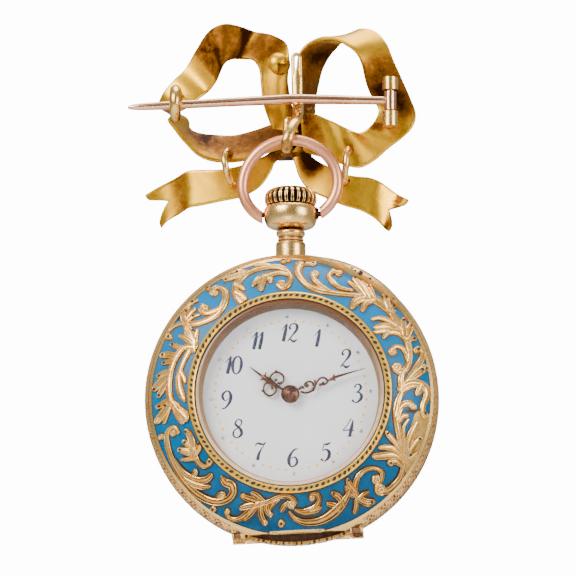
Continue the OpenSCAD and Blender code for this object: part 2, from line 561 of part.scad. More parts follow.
module bow_ring() {
    right_end = 30;
    left_end = 175;
    right_off = 1.02;
    left_off = 1.26;
    left_face = 2.93;
    right_face = [3.05, -2.7];
    end_wire_r = ring_wire_r - 0.006;
    color(rose_gold) translate([0, hang_y, ring_z]) {
        rotate([90, 0, 0]) difference() {
            union() {
                ring_bend(right_end, 0, ring_wire_r, right_end, left_end);
                ring_bend(right_end, right_off, end_wire_r, right_end - 98, right_end + 1);
                ring_bend(left_end, left_off, end_wire_r, left_end - 1, left_end + 84);
            }
            translate([-left_face, -6, -1]) cube([left_face, 4, 2]);
            translate([right_face[0], right_face[1], -1]) rotate([0, 0, 12.5]) translate([-3, -3, 0])
                cube([3, 4, 2]);
        }
        for (side = [-1, 1])
            translate([side * peg_in, 0, pivot_z - ring_z]) rotate([0, side * 90, 0])
                cylinder(r = peg_r, h = peg_out - peg_in, $fn = wire_fn);
    }
}

// Outline of the neck, its bead and the round collar, from the case upwards
module neck_outline() {
    polygon([[0, -16.9], [1.54, -16.9], [1.54, -15.15], [1.44, -14.98], [1.3, -14.92], [1.3, -14.78],
        [1.36, -14.7], [1.3, -14.62], [1.28, -14.4], [1.42, -14.28], [1.5, -14.05], [1.44, -13.82],
        [1.16, -13.66], [1.16, -13.6], [1.8, -13.5], [2.34, -13.32], [2.57, -12.98], [2.72, -12.5],
        [2.77, -12.0], [2.73, -11.58], [2.58, -11.3], [2.42, collar_top], [0, collar_top]]);
}

module pendant_neck() {
    color(gold) difference() {
        translate([0, hang_y, 0]) union() {
            difference() {
                rotate_extrude($fn = round_fn) neck_outline();
                translate([case_x, 3, case_z]) rotate([90, 0, 0])
                    cylinder(r = case_r + seat_gap, h = 6, $fn = 240);
            }
            translate([0, 0, -17.3]) cylinder(r = spigot_r, h = 1.7, $fn = wire_fn);
            translate([2.3, 0, pivot_z]) rotate([0, 90, 0]) cylinder(r = 0.62, h = 0.56, $fn = wire_fn);
        }
        translate([0, hang_y, -15.6]) cylinder(r = stem_r + turn_gap, h = 6, $fn = wire_fn);
        for (side = [-1, 1])
            translate([side * 1.9, hang_y, pivot_z]) rotate([0, side * 90, 0])
                cylinder(r = peg_r + turn_gap, h = 2, $fn = wire_fn);
    }
}

module crown() {
    crown_r = 2.68;
    flute_r = 0.21;
    color(gold) translate([0, hang_y, 0]) difference() {
        union() {
            rotate_extrude($fn = round_fn)
                polygon([[0, -11.08], [2.38, -11.08], [2.6, -10.9], [crown_r, -10.6], [crown_r, -10.25],
                    [2.6, -9.9], [2.34, -9.58], [1.9, -9.34], [1.2, -9.2], [0, -9.16]]);
            translate([0, 0, -15.4]) cylinder(r = stem_r, h = 5, $fn = wire_fn);
        }
        for (i = [0:crown_flutes - 1])
            rotate([0, 0, 360 * i / crown_flutes]) translate([crown_r + 0.04, 0, -11.5])
                cylinder(r = flute_r, h = 3, $fn = 16);
    }
}

// Places a piece that is drawn flat, its face up, into the hanging case
module in_case(turn = dial_turn) {
    translate([case_x, hang_y, case_z]) rotate([90, 0, 0]) rotate([0, 0, turn]) children();
}

// A cylinder along a hinge's direction
module hinge_tube(hinge, r, from, to) {
    translate([from, hinge[0], hinge[1]]) rotate([0, 90, 0]) cylinder(r = r, h = to - from, $fn = wire_fn);
}

// What a cover leaves free at its hinge: all below the chord, and the room round the end caps
module hinge_cut(hinge, from_h, far, r) {
    translate([-case_r, -2 * case_r, min(from_h, far)])
        cube([2 * case_r, 2 * case_r + cover_cut_y, abs(far - from_h)]);
    hinge_tube(hinge, r + hinge_room, -hinge_half - 0.15, hinge_half + 0.15);
}

// The cover's own knuckle on a web, with a bore for the rod
module cover_knuckle(hinge, r, rod_r, half, web_y, web_h) {
    difference() {
        union() {
            hinge_tube(hinge, r, -half, half);
            translate([-half, min(hinge[0], web_y), min(hinge[1], web_h)])
                cube([2 * half, abs(web_y - hinge[0]), abs(web_h - hinge[1])]);
        }
        hinge_tube(hinge, rod_r + rod_gap, -case_r, case_r);
    }
}

// The rod of a hinge with an end cap on each side, and the caps' feet on the band
module hinge_rod(hinge, r, rod_r, foot_h) {
    hinge_tube(hinge, rod_r, -hinge_half, hinge_half);
    for (x = [-hinge_half, hinge_half - cap_l]) {
        hinge_tube(hinge, r, x, x + cap_l);
        translate([x, hinge[0] - 0.8 * r, min(hinge[1], foot_h)])
            cube([cap_l, 1.6 * r, abs(hinge[1] - foot_h)]);
    }
}

module case_middle() {
    recess_y = -13.35;
    recess_half = hinge_half + 0.15;
    wall_in_r = case_r - 0.27;
    wall_h = 0.4;
    color(gold) in_case() difference() {
        union() {
            difference() {
                rotate_extrude($fn = round_fn)
                    polygon([[0, back_seam - lip_h], [lip_r, back_seam - lip_h], [lip_r, back_seam],
                        [case_r - 0.4, back_seam], [case_r, -0.7], [case_r, 0.3], [case_r - 0.4, front_seam],
                        [lip_r, front_seam], [lip_r, front_seam + lip_h], [drum_r, front_seam + lip_h],
                        [drum_r, drum_h], [0, drum_h]]);
                intersection() {
                    translate([-recess_half, -case_r - 1, -0.1])
                        cube([2 * recess_half, case_r + 1 + recess_y, 3]);
                    union() {
                        cylinder(r = wall_in_r, h = 6, center = true, $fn = round_fn);
                        translate([-case_r, -case_r, wall_h]) cube([2 * case_r, case_r, 3]);
                    }
                }
                translate([-recess_half, -case_r - 1, -2.5])
                    cube([2 * recess_half, case_r + 1 + recess_y, 2]);
            }
            hinge_rod(front_hinge, cap_r, front_rod_r, -0.25);
            hinge_rod(back_hinge, back_tube_r, back_rod_r, -0.35);
        }
        rotate([0, 0, -dial_turn]) translate([-case_x, case_r - 1.2, 0]) rotate([-90, 0, 0])
            cylinder(r = spigot_r + 0.02, h = 3, $fn = wire_fn);
    }
}

// Outline of the front cover's wall from the rim to the crystal's ring
module bezel_outline() {
    inner_ring_h = 3.12;
    difference() {
        union() {
            intersection() {
                translate(dome_curve_at) circle(r = dome_curve_r - enamel_t - seat_gap, $fn = 360);
                translate([10, front_seam + seat_gap]) square([case_r - 10.1, 4]);
            }
            polygon([[lip_r, front_seam + seat_gap], [case_r - 0.05, front_seam + seat_gap], [case_r, 1.05],
                [case_r - 0.1, 1.4], [case_r - 0.4, 1.85], [enamel_out_r + seat_gap, 2.1],
                [enamel_out_r + seat_gap, 1.5], [lip_r, 1.5]]);
            polygon([[9.0, inner_ring_h], [10, inner_ring_h], [enamel_in_r - seat_gap, 3.6],
                [enamel_in_r - seat_gap, 4.6], [10.3, bezel_h], [9.8, bezel_h], [9.7, 4.7],
                [9.7, crystal_seat_h], [9.45, crystal_seat_h], [9.0, inner_ring_h + 0.12]]);
        }
        intersection() {
            translate(dome_curve_at) circle(r = dome_curve_r - enamel_t - wall_t, $fn = 360);
            translate([10, 0]) square([cavity_r - 10, 4]);
        }
    }
}

// The flaring room inside the thumb lip, which takes in all the rest of the cover
module lip_inside(turn, gap = 0) {
    rotate([0, 0, lip_at + turn]) translate([lip_cone_x, 0, 0])
        cylinder(r1 = lip_cone_r - gap, r2 = lip_cone_r + 6 * lip_cone_slope - gap, h = 6, $fn = 240);
}

// A crescent of thicker gold on the upper right of the rim, for a thumbnail: it is turned about
// an axis that lies nearer to it than the case's, so it sinks into the rim at both ends
module thumb_lip() {
    off = case_r + 0.15 - lip_round_r;
    difference() {
        rotate([0, 0, lip_at]) translate([off, 0, 0])
            rotate([0, 0, -45]) rotate_extrude(angle = 90, $fn = round_fn) translate([-off, 0])
                polygon([[13.2, 1.7], [case_r - 0.2, 1.4], [case_r + 0.12, 1.5], [case_r + 0.15, 1.8],
                    [case_r - 0.1, 2.25], [14.55, 2.7], [14.2, 2.85], [13.2, 2.9]]);
        lip_inside(0);
    }
}

module front_bezel() {
    color(gold) in_case() {
        difference() {
            union() {
                rotate_extrude($fn = round_fn) bezel_outline();
                thumb_lip();
            }
            hinge_cut(front_hinge, 0, 6, cap_r);
        }
        cover_knuckle(front_hinge, front_knuckle_r, front_rod_r, front_knuckle_half, -13.95, 1.8);
    }
}

module enamel_ring() {
    color("deepskyblue") in_case() intersection() {
        difference() {
            rotate_extrude($fn = round_fn) intersection() {
                difference() {
                    translate(dome_curve_at) circle(r = dome_curve_r, $fn = 360);
                    translate(dome_curve_at) circle(r = dome_curve_r - enamel_t, $fn = 360);
                }
                translate([enamel_in_r, 0]) square([enamel_out_r - enamel_in_r, 6]);
            }
            translate([-case_r, -2 * case_r, 0]) cube([2 * case_r, 2 * case_r + enamel_cut_y, 6]);
        }
        lip_inside(0, seat_gap);
    }
}

// The height of the enamel at a distance from the case's axis
function dome_h(r) = dome_curve_at[1] + sqrt(dome_curve_r ^ 2 - (r - dome_curve_at[0]) ^ 2);

// A point of the drawing on the case: the drawing's outer parts lie lower on the dome, so it sinks there
function drawn(p) =
    let (x = (p[0] - drawing_mid[0]) * drawing_unit[0], y = (drawing_mid[1] - p[1]) * drawing_unit[1],
        out = norm([x, y]) - 12.35)
    [x - 0.03 * out, y + 0.146 * out];

// A flat scroll along table rows, rounded at each with its width there
module flat_scroll(rows) {
    steps = 2;
    n = (len(rows) - 1) * steps;
    for (i = [0:n - 1])
        hull()
            for (k = [i, i + 1]) {
                row = row_at(rows, k / steps);
                translate(drawn(row)) circle(row[2] * drawing_unit[0] / 2, $fn = 6);
            }
}

module scrollwork() {
    lift = 0.06;
    edges = [10.53, 11.4, 12.2, 12.9, 13.5, 13.9, 14.13];
    color(gold) in_case(0) intersection() {
        linear_extrude(8) offset(delta = -0.02) offset(delta = 0.02) {
            for (rows = scrolls) flat_scroll(rows);
            for (knob = knobs)
                translate(drawn(knob)) circle(knob[2] * drawing_unit[0], $fn = 10);
        }
        rotate_extrude($fn = 72) polygon(concat(
            [for (r = edges) [r, dome_h(r) + lift]],
            [for (i = [len(edges) - 1:-1:0]) [edges[i], dome_h(edges[i]) + lift + scroll_h]]));
        lip_inside(dial_turn, 0.06);
    }
}

module crystal() {
    color("azure", 0.4) in_case() rotate_extrude($fn = round_fn)
        polygon([[0, crystal_seat_h + seat_gap], [crystal_r, crystal_seat_h + seat_gap], [crystal_r, 4.6],
            [crystal_r - 0.35, 4.74], [7.5, 4.86], [5, 4.93], [2.5, 4.96], [0, 4.97]]);
}

module dial() {
    color("white") in_case() difference() {
        translate([0, 0, drum_h]) cylinder(r = dial_r, h = dial_t, $fn = round_fn);
        translate([0, 0, drum_h - 1]) cylinder(r = 0.35, h = 2, $fn = wire_fn);
    }
}

hour_h = 3.3;
minute_h = 3.62;
hand_t = 0.14;
hub_r = 0.92;
arbor_r = 0.25;
module hand_arbor() {
    color(hand_gold) in_case() translate([0, 0, drum_h]) cylinder(r = arbor_r, h = 1.1, $fn = wire_fn);
}

// Flat pieces of a hand: a small ring, and a tapered bar from one point to another
module eye(at, r) {
    translate(at) difference() {
        circle(r, $fn = 24);
        circle(r - 0.16, $fn = 24);
    }
}
module taper(x1, w1, x2, w2) {
    polygon([[x1, -w1 / 2], [x2, -w2 / 2], [x2, w2 / 2], [x1, w1 / 2]]);
}

module hour_hand() {
    color(hand_gold) in_case() {
        difference() {
            translate([0, 0, hour_h]) rotate([0, 0, hour_at]) linear_extrude(hand_t) {
                circle(0.7, $fn = 36);
                for (side = [-1, 1]) {
                    eye([1.95, side * 0.66], 0.56);
                    eye([1.25, side * 0.3], 0.34);
                }
                taper(0.5, 0.3, 3.0, 0.2);
                polygon([[2.8, 0], [3.25, -0.42], [3.4, -0.12], [hour_l, -0.03], [hour_l, 0.03],
                    [3.4, 0.12], [3.25, 0.42]]);
            }
            translate([0, 0, hour_h - 1]) cylinder(r = arbor_r + rod_gap, h = 3, $fn = wire_fn);
        }
    }
}

module minute_hand() {
    color(hand_gold) in_case() {
        difference() {
            union() {
                translate([0, 0, minute_h]) rotate([0, 0, minute_at]) linear_extrude(hand_t) {
                    circle(hub_r, $fn = 36);
                    for (side = [-1, 1]) {
                        eye([1.72, side * 0.34], 0.42);
                        eye([3.5, side * 0.28], 0.34);
                        eye([2.7, side * 0.16], 0.24);
                    }
                    taper(0.7, 0.24, 4.4, 0.14);
                    polygon([[4.3, 0], [4.6, -0.36], [4.8, -0.1], [minute_l, -0.02], [minute_l, 0.02],
                        [4.8, 0.1], [4.6, 0.36]]);
                }
                translate([0, 0, minute_h]) cylinder(r1 = hub_r, r2 = 0.5, h = 0.42, $fn = 36);
            }
            translate([0, 0, minute_h - 1]) cylinder(r = arbor_r + rod_gap, h = 1.26, $fn = wire_fn);
        }
    }
}

// Outline of the back cover, a shallow bowl
module back_outline() {
    back_curve_r = 40;
    back_h = -4.4;
    seam = back_seam - seat_gap;
    difference() {
        union() {
            intersection() {
                translate([0, back_h + back_curve_r]) circle(r = back_curve_r, $fn = 720);
                translate([0, back_h - 1]) square([case_r - 0.3, seam - back_h + 1]);
            }
            polygon([[cavity_r, seam], [case_r - 0.05, seam], [case_r, seam - 0.2], [case_r - 0.1, -1.7],
                [case_r - 0.5, -2.0], [cavity_r, -2.0]]);
        }
        intersection() {
            translate([0, back_h + back_curve_r]) circle(r = back_curve_r - wall_t, $fn = 720);
            translate([0, back_h]) square([cavity_r, 4]);
        }
    }
}

module back_cover() {
    color(gold) in_case() {
        difference() {
            rotate_extrude($fn = round_fn) back_outline();
            hinge_cut(back_hinge, back_hinge[1], -6, back_tube_r + 0.06);
        }
        cover_knuckle(back_hinge, back_tube_r, back_rod_r, hinge_half - cap_l - turn_gap, -13.48, -1.8);
    }
}

bow();
watch_hook();
pin_catch();
hinge_barrel();
pin_stem();
bow_ring();
pendant_neck();
crown();
case_middle();
front_bezel();
enamel_ring();
scrollwork();
crystal();
dial();
hand_arbor();
hour_hand();
minute_hand();
back_cover();
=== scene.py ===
"""An enamelled gold pendant watch that hangs from a gold ribbon bow brooch, seen from the brooch's back."""

import math
import random

import bmesh
import bpy
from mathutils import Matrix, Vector


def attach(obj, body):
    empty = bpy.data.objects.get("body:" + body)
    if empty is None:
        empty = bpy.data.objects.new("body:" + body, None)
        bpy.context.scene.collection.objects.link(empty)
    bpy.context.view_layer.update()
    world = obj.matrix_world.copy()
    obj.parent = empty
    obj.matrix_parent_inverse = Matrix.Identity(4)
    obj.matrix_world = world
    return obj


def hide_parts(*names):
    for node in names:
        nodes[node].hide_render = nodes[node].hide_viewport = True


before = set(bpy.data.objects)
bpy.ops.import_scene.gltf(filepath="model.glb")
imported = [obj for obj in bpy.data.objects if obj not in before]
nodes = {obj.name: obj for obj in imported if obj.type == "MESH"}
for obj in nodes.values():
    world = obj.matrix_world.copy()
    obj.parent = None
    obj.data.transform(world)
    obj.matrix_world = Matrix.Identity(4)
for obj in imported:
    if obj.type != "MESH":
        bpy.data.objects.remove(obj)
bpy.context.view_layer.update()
random.seed(7)

# All sizes below are in millimetres, in the frame's axes
MM = 0.001

# The case: its middle in the frame, and the turn of dial and hinges in degrees
CASE = (0.14, -0.6, -31.43)
DIAL_TURN = 2.4
CASE_R = 15.0
# The enamel's dome, an arc: its radius, and its centre's distance from the case's axis and height
DOME_CURVE_R = 10.16
DOME_CURVE_AT = (6.98, -5.05)
ENAMEL_T = 0.28
ENAMEL_IN_R = 10.45
ENAMEL_OUT_R = 14.25
# The straight edge of the enamel above the hinge
ENAMEL_CUT_Y = -13.85
# The thumb lip: the angle that it points to, and how far its outer face's centre lies off the case's axis
LIP_AT = 56.9
LIP_OFF = 3.15
# The cone inside the thumb lip: the place of its axis, its radius at height 0 and its growth with height
LIP_CONE_X = -14.0
LIP_CONE_R = 25.5
LIP_CONE_SLOPE = 1.1
# Heights over the case's middle, towards the viewer: the dial's face and the hands' undersides
DIAL_TOP = 3.02
HOUR_H = 3.3
MINUTE_H = 3.62
HAND_T = 0.14
# The hinge at the case's bottom, and the recess under it
HINGE_Y = -13.68
HINGE_H = 1.0
HINGE_HALF = 6.7
RECESS_HALF = 6.8
RECESS_NEAR_Y = -13.42
RECESS_FAR_R = 14.7
# Lumps at the hinge's ends: the side and length of each, and the middle and radius of the one under them
LUMPS = [(-1, 1.15), (1, 1.45)]
LOW_LUMP = (6.1, -14.1, 0.42)
LOW_LUMP_R = 0.52

# The pendant: the plane that ring and watch hang in, the height of the ring's pegs, and the ring
HANG_Y = -0.6
PIVOT_Z = -12.0
RING_Z = -9.12
RING_R = 4.96
RING_WIRE_R = 0.586
# Bends of the ring's wire: how far a bend's centre lies off the ring's, at which angle, and its two ends
RING_BENDS = [(1.02, 30, -68, 30), (0.0, 0, 30, 175), (1.26, 175, 175, 259)]
# Flat ends of the wire: a point on the face in the ring's plane, and the angle of the side that stays
RING_ENDS = [(3.05, -2.7, 12.5), (-2.93, -3.0, 180)]
# The pegs between the wire's ends and the collar: distances from the pendant's axis, and radius
PEG_STOPS = (2.2, 2.6, 3.0, 3.4)
PEG_R = 0.28

# The brooch: the ribbons' thickness, radii of wires, half the hook's width, and the pin's barrel
RIBBON_T = 0.42
BRACE_WIRE_R = 0.36
HOOK_WIRE_R = 0.21
HOOK_BEND_R = 0.37
HOOK_HALF = 0.37
BARREL_X = 10.24
# The pin's stem: x, z and radius
PIN_STEM = [
    (-16.88, -0.437, 0.05), (-16.78, -0.433, 0.17), (-16.4, -0.42, 0.28), (-15.6, -0.385, 0.37),
    (-14, -0.32, 0.42), (-11, -0.19, 0.44), (-7, -0.02, 0.46), (-3, 0.14, 0.5), (0, 0.25, 0.53),
    (3, 0.19, 0.51), (6, 0.1, 0.47), (9, 0.01, 0.44), (9.9, -0.02, 0.5)
]
# The knuckle that the pin turns on: radius and height on the barrel's axis
PIN_KNUCKLE = [(0.34, -1.07), (0.58, -1.07), (0.64, -1.02), (0.64, 0.9), (0.58, 0.95), (0.34, 0.95)]

# Ribbons, a row for each section: the near edge x, y, z and the far edge x, y, z
LOOP_LEFT = [
    [-2.0, 2.0, -2.5, 0.6, 3.6, -2.6],
    [-2.9, 1.9, 0.0, -0.1, 3.6, 0.4],
    [-3.2, 1.9, 2.1, -0.5, 3.4, 2.9],
    [-3.4, 2.0, 3.8, -0.3, 3.0, 4.9],
    [-4.0, 2.2, 4.8, -0.6, 2.6, 6.7],
    [-4.9, 2.6, 5.1, -2.0, 2.6, 7.6],
    [-6.0, 3.0, 5.2, -3.8, 3.6, 8.2],
    [-6.7, 2.2, 4.8, -5.3, 2.8, 8.6],
    [-7.1, 1.8, 4.2, -7.0, 2.2, 8.8],
    [-7.4, 1.8, 3.6, -8.6, 2.4, 8.1],
    [-7.9, 2.2, 2.6, -9.9, 2.8, 6.3],
    [-8.7, 2.7, 1.7, -11.1, 3.4, 4.4],
    [-9.7, 2.4, 0.9, -12.5, 3.2, 2.9],
    [-10.5, 2.0, 0.1, -13.6, 3.6, 1.5],
    [-11.9, 1.8, -0.7, -13.7, 4.8, 0.5],
    [-12.8, 1.8, -1.3, -11.2, 5.4, -0.5],
    [-12.0, 1.8, -2.5, -10.8, 5.4, -1.7],
    [-11.0, 1.9, -3.8, -9.8, 5.2, -2.2],
    [-9.6, 2.0, -5.2, -8.3, 5.1, -2.4],
    [-7.7, 2.2, -5.8, -6.2, 5.0, -2.5],
    [-5.2, 2.4, -5.7, -3.9, 4.8, -2.0],
    [-2.8, 2.6, -4.9, -1.8, 4.4, -1.4],
    [-0.5, 2.8, -4.2, 0.4, 4.2, -1.4]
]
LOOP_RIGHT = [
    [0.9, 2.1, -1.8, 2.2, 4.6, -0.3],
    [0.6, 2.0, 0.1, 2.2, 4.9, 0.8],
    [0.5, 2.0, 1.9, 2.5, 5.0, 2.5],
    [0.5, 2.1, 3.8, 3.0, 4.8, 4.4],
    [0.8, 2.1, 5.6, 3.8, 4.6, 5.8],
    [1.7, 2.0, 6.6, 4.4, 4.8, 6.6],
    [3.0, 2.0, 7.1, 5.0, 5.2, 7.4],
    [4.3, 1.9, 7.0, 5.9, 5.4, 8.2],
    [5.5, 1.8, 6.4, 7.2, 4.8, 8.6],
    [6.6, 1.8, 5.5, 8.6, 4.0, 8.1],
    [7.2, 2.0, 4.3, 9.7, 3.4, 6.8],
    [7.5, 2.3, 2.9, 10.5, 3.2, 4.9],
    [7.9, 2.6, 1.6, 11.4, 3.0, 2.8],
    [8.6, 2.7, 0.3, 12.2, 2.8, 0.9],
    [8.9, 2.6, -0.6, 12.8, 2.4, -0.9],
    [8.5, 2.2, -1.7, 12.5, 2.0, -2.4],
    [7.8, 2.0, -2.5, 11.4, 1.9, -3.6],
    [6.9, 2.2, -2.9, 10.0, 2.2, -4.6],
    [5.9, 2.8, -2.4, 8.5, 2.6, -5.8],
    [4.7, 2.8, -1.8, 6.9, 2.8, -6.5],
    [3.5, 2.4, -1.3, 5.0, 2.6, -6.1],
    [2.3, 2.4, -0.8, 3.2, 2.8, -5.4],
    [0.9, 3.0, -0.6, 1.2, 3.4, -4.7]
]
TAIL_LEFT = [
    [0.0, 3.8, -4.7, -0.8, 3.2, -4.0],
    [-1.7, 3.5, -5.6, -2.4, 3.3, -4.7],
    [-2.2, 3.2, -6.7, -3.8, 3.2, -5.5],
    [-3.3, 3.0, -8.3, -5.2, 3.0, -6.0],
    [-5.1, 2.8, -9.4, -6.8, 2.8, -6.4],
    [-7.5, 2.9, -9.9, -8.3, 2.9, -6.5],
    [-9.4, 3.3, -10.2, -9.8, 3.3, -6.4],
    [-10.7, 3.5, -10.4, -11.0, 3.5, -6.5],
    [-11.7, 3.2, -11.1, -12.2, 3.2, -7.3],
    [-12.8, 2.5, -11.9, -13.8, 2.5, -8.3],
    [-13.5, 2.4, -12.7, -15.2, 2.2, -9.2]
]
TAIL_RIGHT = [
    [-0.2, 3.8, -4.7, 0.6, 3.2, -4.0],
    [0.2, 3.5, -5.9, 1.5, 3.3, -4.7],
    [0.7, 3.2, -7.4, 2.6, 3.2, -5.6],
    [1.7, 3.0, -8.7, 3.8, 3.0, -6.3],
    [3.5, 2.65, -9.7, 5.1, 2.95, -7.0],
    [5.3, 2.6, -10.5, 6.6, 3.0, -7.3],
    [7.0, 2.8, -11.0, 7.9, 3.2, -7.4],
    [8.2, 3.0, -11.6, 9.0, 3.3, -7.8],
    [9.0, 3.0, -12.3, 10.0, 3.0, -8.6],
    [9.5, 2.8, -12.9, 11.0, 2.6, -9.4],
    [9.9, 2.2, -13.3, 12.0, 2.0, -10.0]
]
KNOT = [
    [-1.3, 3.1, -0.6, 1.7, 3.1, -0.2],
    [-1.7, 4.4, -0.2, 2.1, 4.4, 0.2],
    [-1.7, 5.5, -0.9, 2.1, 5.5, -0.6],
    [-1.4, 6.1, -2.6, 1.8, 6.1, -2.4],
    [-1.6, 5.6, -4.2, 1.9, 5.6, -4.1],
    [-1.6, 4.6, -5.1, 1.8, 4.6, -5.0],
    [-1.2, 3.2, -4.9, 1.4, 3.2, -4.8]
]

# Brown tarnish on the ribbons, together with painted reflection bands and painted shade, a row for each
# patch:
# row of the ribbon, its spread in rows, share of the width from the near edge, its spread, strength, and how
# many rows it leans across the width
TARNISH_AND_REFLECTIONS = {
    "loop_left": [
        (6.16, 0.37, 0.5, 2, 1.1, 1.1), (4.6, 1.1, 0.55, 0.9, 0.72, 0.3), (9.3, 0.85, 0.5, 2, 0.86, 0.4),
        (7.4, 1.4, 0.5, 2, 0.62, 0), (2.0, 1.6, 0.1, 0.3, 0.35, 0), (14.6, 0.7, 0.2, 0.4, 0.5, 0),
        (17.1, 1.1, 0.75, 0.45, 0.8, 0), (20.0, 2.4, 0.62, 0.6, 0.75, 0)],
    "loop_right": [
        (2.0, 2.3, 0.5, 0.9, 0.62, 0), (4.6, 1.3, 0.62, 0.7, 0.72, 0), (11.9, 1.9, 0.4, 0.9, 0.8, 0.5),
        (12.4, 0.6, 0.45, 0.35, 0.5, 0), (13.9, 0.9, 0.62, 0.28, 0.5, 0), (21.2, 0.8, 0.35, 0.6, 0.5, 0),
        (15.6, 0.5, 0.2, 0.25, 0.8, 0), (18.95, 0.4, 0.5, 0.2, 0.6, 0)],
    "tail_left": [
        (7.7, 0.7, 0.5, 2, 0.5, 0), (0.6, 0.8, 0.5, 0.8, 0.8, 0), (9.8, 0.5, 0.1, 0.25, 0.3, 0)],
    "tail_right": [
        (1.6, 1.1, 0.75, 0.45, 1.4, 0), (9.3, 0.4, 0.85, 0.3, 0.7, 0), (9.4, 0.5, 0.1, 0.25, 0.7, 0)],
    "knot": [(3.5, 4.0, 0.5, 0.9, 1.0, 0)]
}

# Across a ribbon: the shares of its width at which its two faces have points
RIBBON_SHARES = (0.012, 0.04, 0.09, 0.18, 0.3, 0.4, 0.5, 0.6, 0.7, 0.82, 0.91, 0.96, 0.988)
RIBBON_STEPS = 12
RIBBON_EDGE_R = 0.16
# How many rows deep a tail's end is cut to a swallow tail, and how blunt its points are
NOTCH = 1.4
NOTCH_BLUNT = 1.4

# The boss between the loops: its middle, its radius, its flat side, and the stub on its right
BOSS = Vector((-1.5, 2.9, 4.6))
BOSS_R = 1.3
BOSS_CUT_Y = 2.3
BOSS_STUB = [(-1.3, 2.5, 5.04), (-0.42, 2.5, 5.04), (-0.35, 2.5, 5.04)]
BOSS_STUB_R = [0.42, 0.42, 0.34]

# Wires of the braces between loops and tails, and the hook's route from its shank to its tip: x, y, z
BRACE_LEFT = [
    [-6.4, 3.6, -4.9], [-6.6, 1.5, -4.8], [-6.9, 0.6, -5.7],
    [-6.7, 0.6, -7.0], [-6.4, 1.6, -7.9], [-6.3, 2.8, -8.1]
]
BRACE_RIGHT = [
    [5.7, 2.6, -4.9], [5.8, 1.4, -4.8], [5.7, 0.7, -5.7],
    [5.6, 0.7, -6.9], [5.4, 1.5, -7.9], [5.3, 2.7, -8.1]
]
HOOK_ROUTE = [
    [0.5, 1.2, 4.9], [0.55, 1.2, 3.0], [0.6, 1.2, 0.9], [0.68, 1.12, -0.3], [0.66, 0.5, -1.35],
    [0.4, -0.7, -2.3], [0.0, -1.5, -3.4], [-0.3, -1.75, -4.4], [-0.4, -1.4, -5.0],
    [-0.4, -0.6, -5.21], [-0.4, 0.25, -4.8], [-0.4, 0.75, -3.8], [-0.35, 0.85, -2.7], [-0.3, 0.8, -1.5]
]
# Points for each row of such a table, and the point at which the hook's two wires have become one strap
WIRE_STEPS = 6
HOOK_SLOT_END = 7

# The neck with its bead and round collar: radius and height
NECK = [
    (1.54, -16.6), (1.54, -15.4), (1.53, -15.17), (1.44, -14.98), (1.31, -14.92), (1.3, -14.8),
    (1.36, -14.7), (1.3, -14.62), (1.28, -14.4), (1.42, -14.28), (1.5, -14.05), (1.44, -13.82),
    (1.17, -13.68), (1.17, -13.6), (1.8, -13.5), (2.34, -13.32), (2.57, -12.98), (2.72, -12.5),
    (2.77, -12.0), (2.73, -11.58), (2.58, -11.3), (2.42, -11.17), (2.3, -11.15), (1.2, -11.15)
]
# Dark seams on it: height and half width
NECK_SEAMS = [(-13.64, 0.07), (-14.86, 0.06), (-14.5, 0.08), (-15.22, 0.03), (-11.13, 0.04)]
# The threaded stud on the collar's right, and the dark specks beside it: x, y, z, radius
THREADS = [(2.3 + 0.07 * i, 0.6 if i % 2 else 0.52) for i in range(9)]
STUD_SPECKS = [
    (2.62, -0.52, -11.5, 0.16), (2.74, -0.5, -12.3, 0.14), (2.5, -0.5, -12.6, 0.13),
    (2.8, -0.3, -11.55, 0.12), (2.66, -0.55, -11.9, 0.12)
]
# The crown: radius and height, and how many ribs it has
CROWN = [
    (1.0, -11.08), (2.38, -11.08), (2.5, -11.02), (2.6, -10.9), (2.68, -10.6), (2.68, -10.25),
    (2.6, -9.9), (2.34, -9.58), (1.9, -9.34), (1.2, -9.2), (0.5, -9.17), (0.05, -9.165)
]
CROWN_RIBS = 26

# Rings on the cover, inside the enamel: radius and height
DOTTED_RING = [
    (9.74, 4.7), (9.76, 4.82), (9.86, 4.88), (9.98, 4.86), (10.18, 4.86), (10.3, 4.88), (10.41, 4.8),
    (10.43, 4.66)
]
SHADOW_LINE = [(9.62, 4.74), (9.66, 4.79), (9.75, 4.8)]
CRYSTAL_EDGE = [(9.3, 4.765), (9.34, 4.785), (9.5, 4.75), (9.62, 4.68), (9.62, 4.64)]
WALL = [
    (8.95, 3.13), (8.97, 3.3), (9.1, 3.7), (9.22, 3.95), (9.25, 4.0), (9.24, 4.05), (9.32, 4.2),
    (9.38, 4.33)
]
# The oval dots on it: number, circle, half sizes and turn, and rows of a share of a dot's size and a height
RING_DOTS = 104
RING_DOTS_R = 10.08
RING_DOT_HALVES = (0.15, 0.24)
RING_DOT_LEAN = 30
RING_DOT_PROFILE = [(1, 4.862), (0.95, 4.9), (0.05, 4.905)]

# The engraved rim ends this many degrees to each side of the case's bottom, where the hinge is
RIM_BESIDE = 27.6
PAST_HINGE = (270 + RIM_BESIDE, 360 - 2 * RIM_BESIDE)
AT_HINGE = (270 - RIM_BESIDE, 2 * RIM_BESIDE)
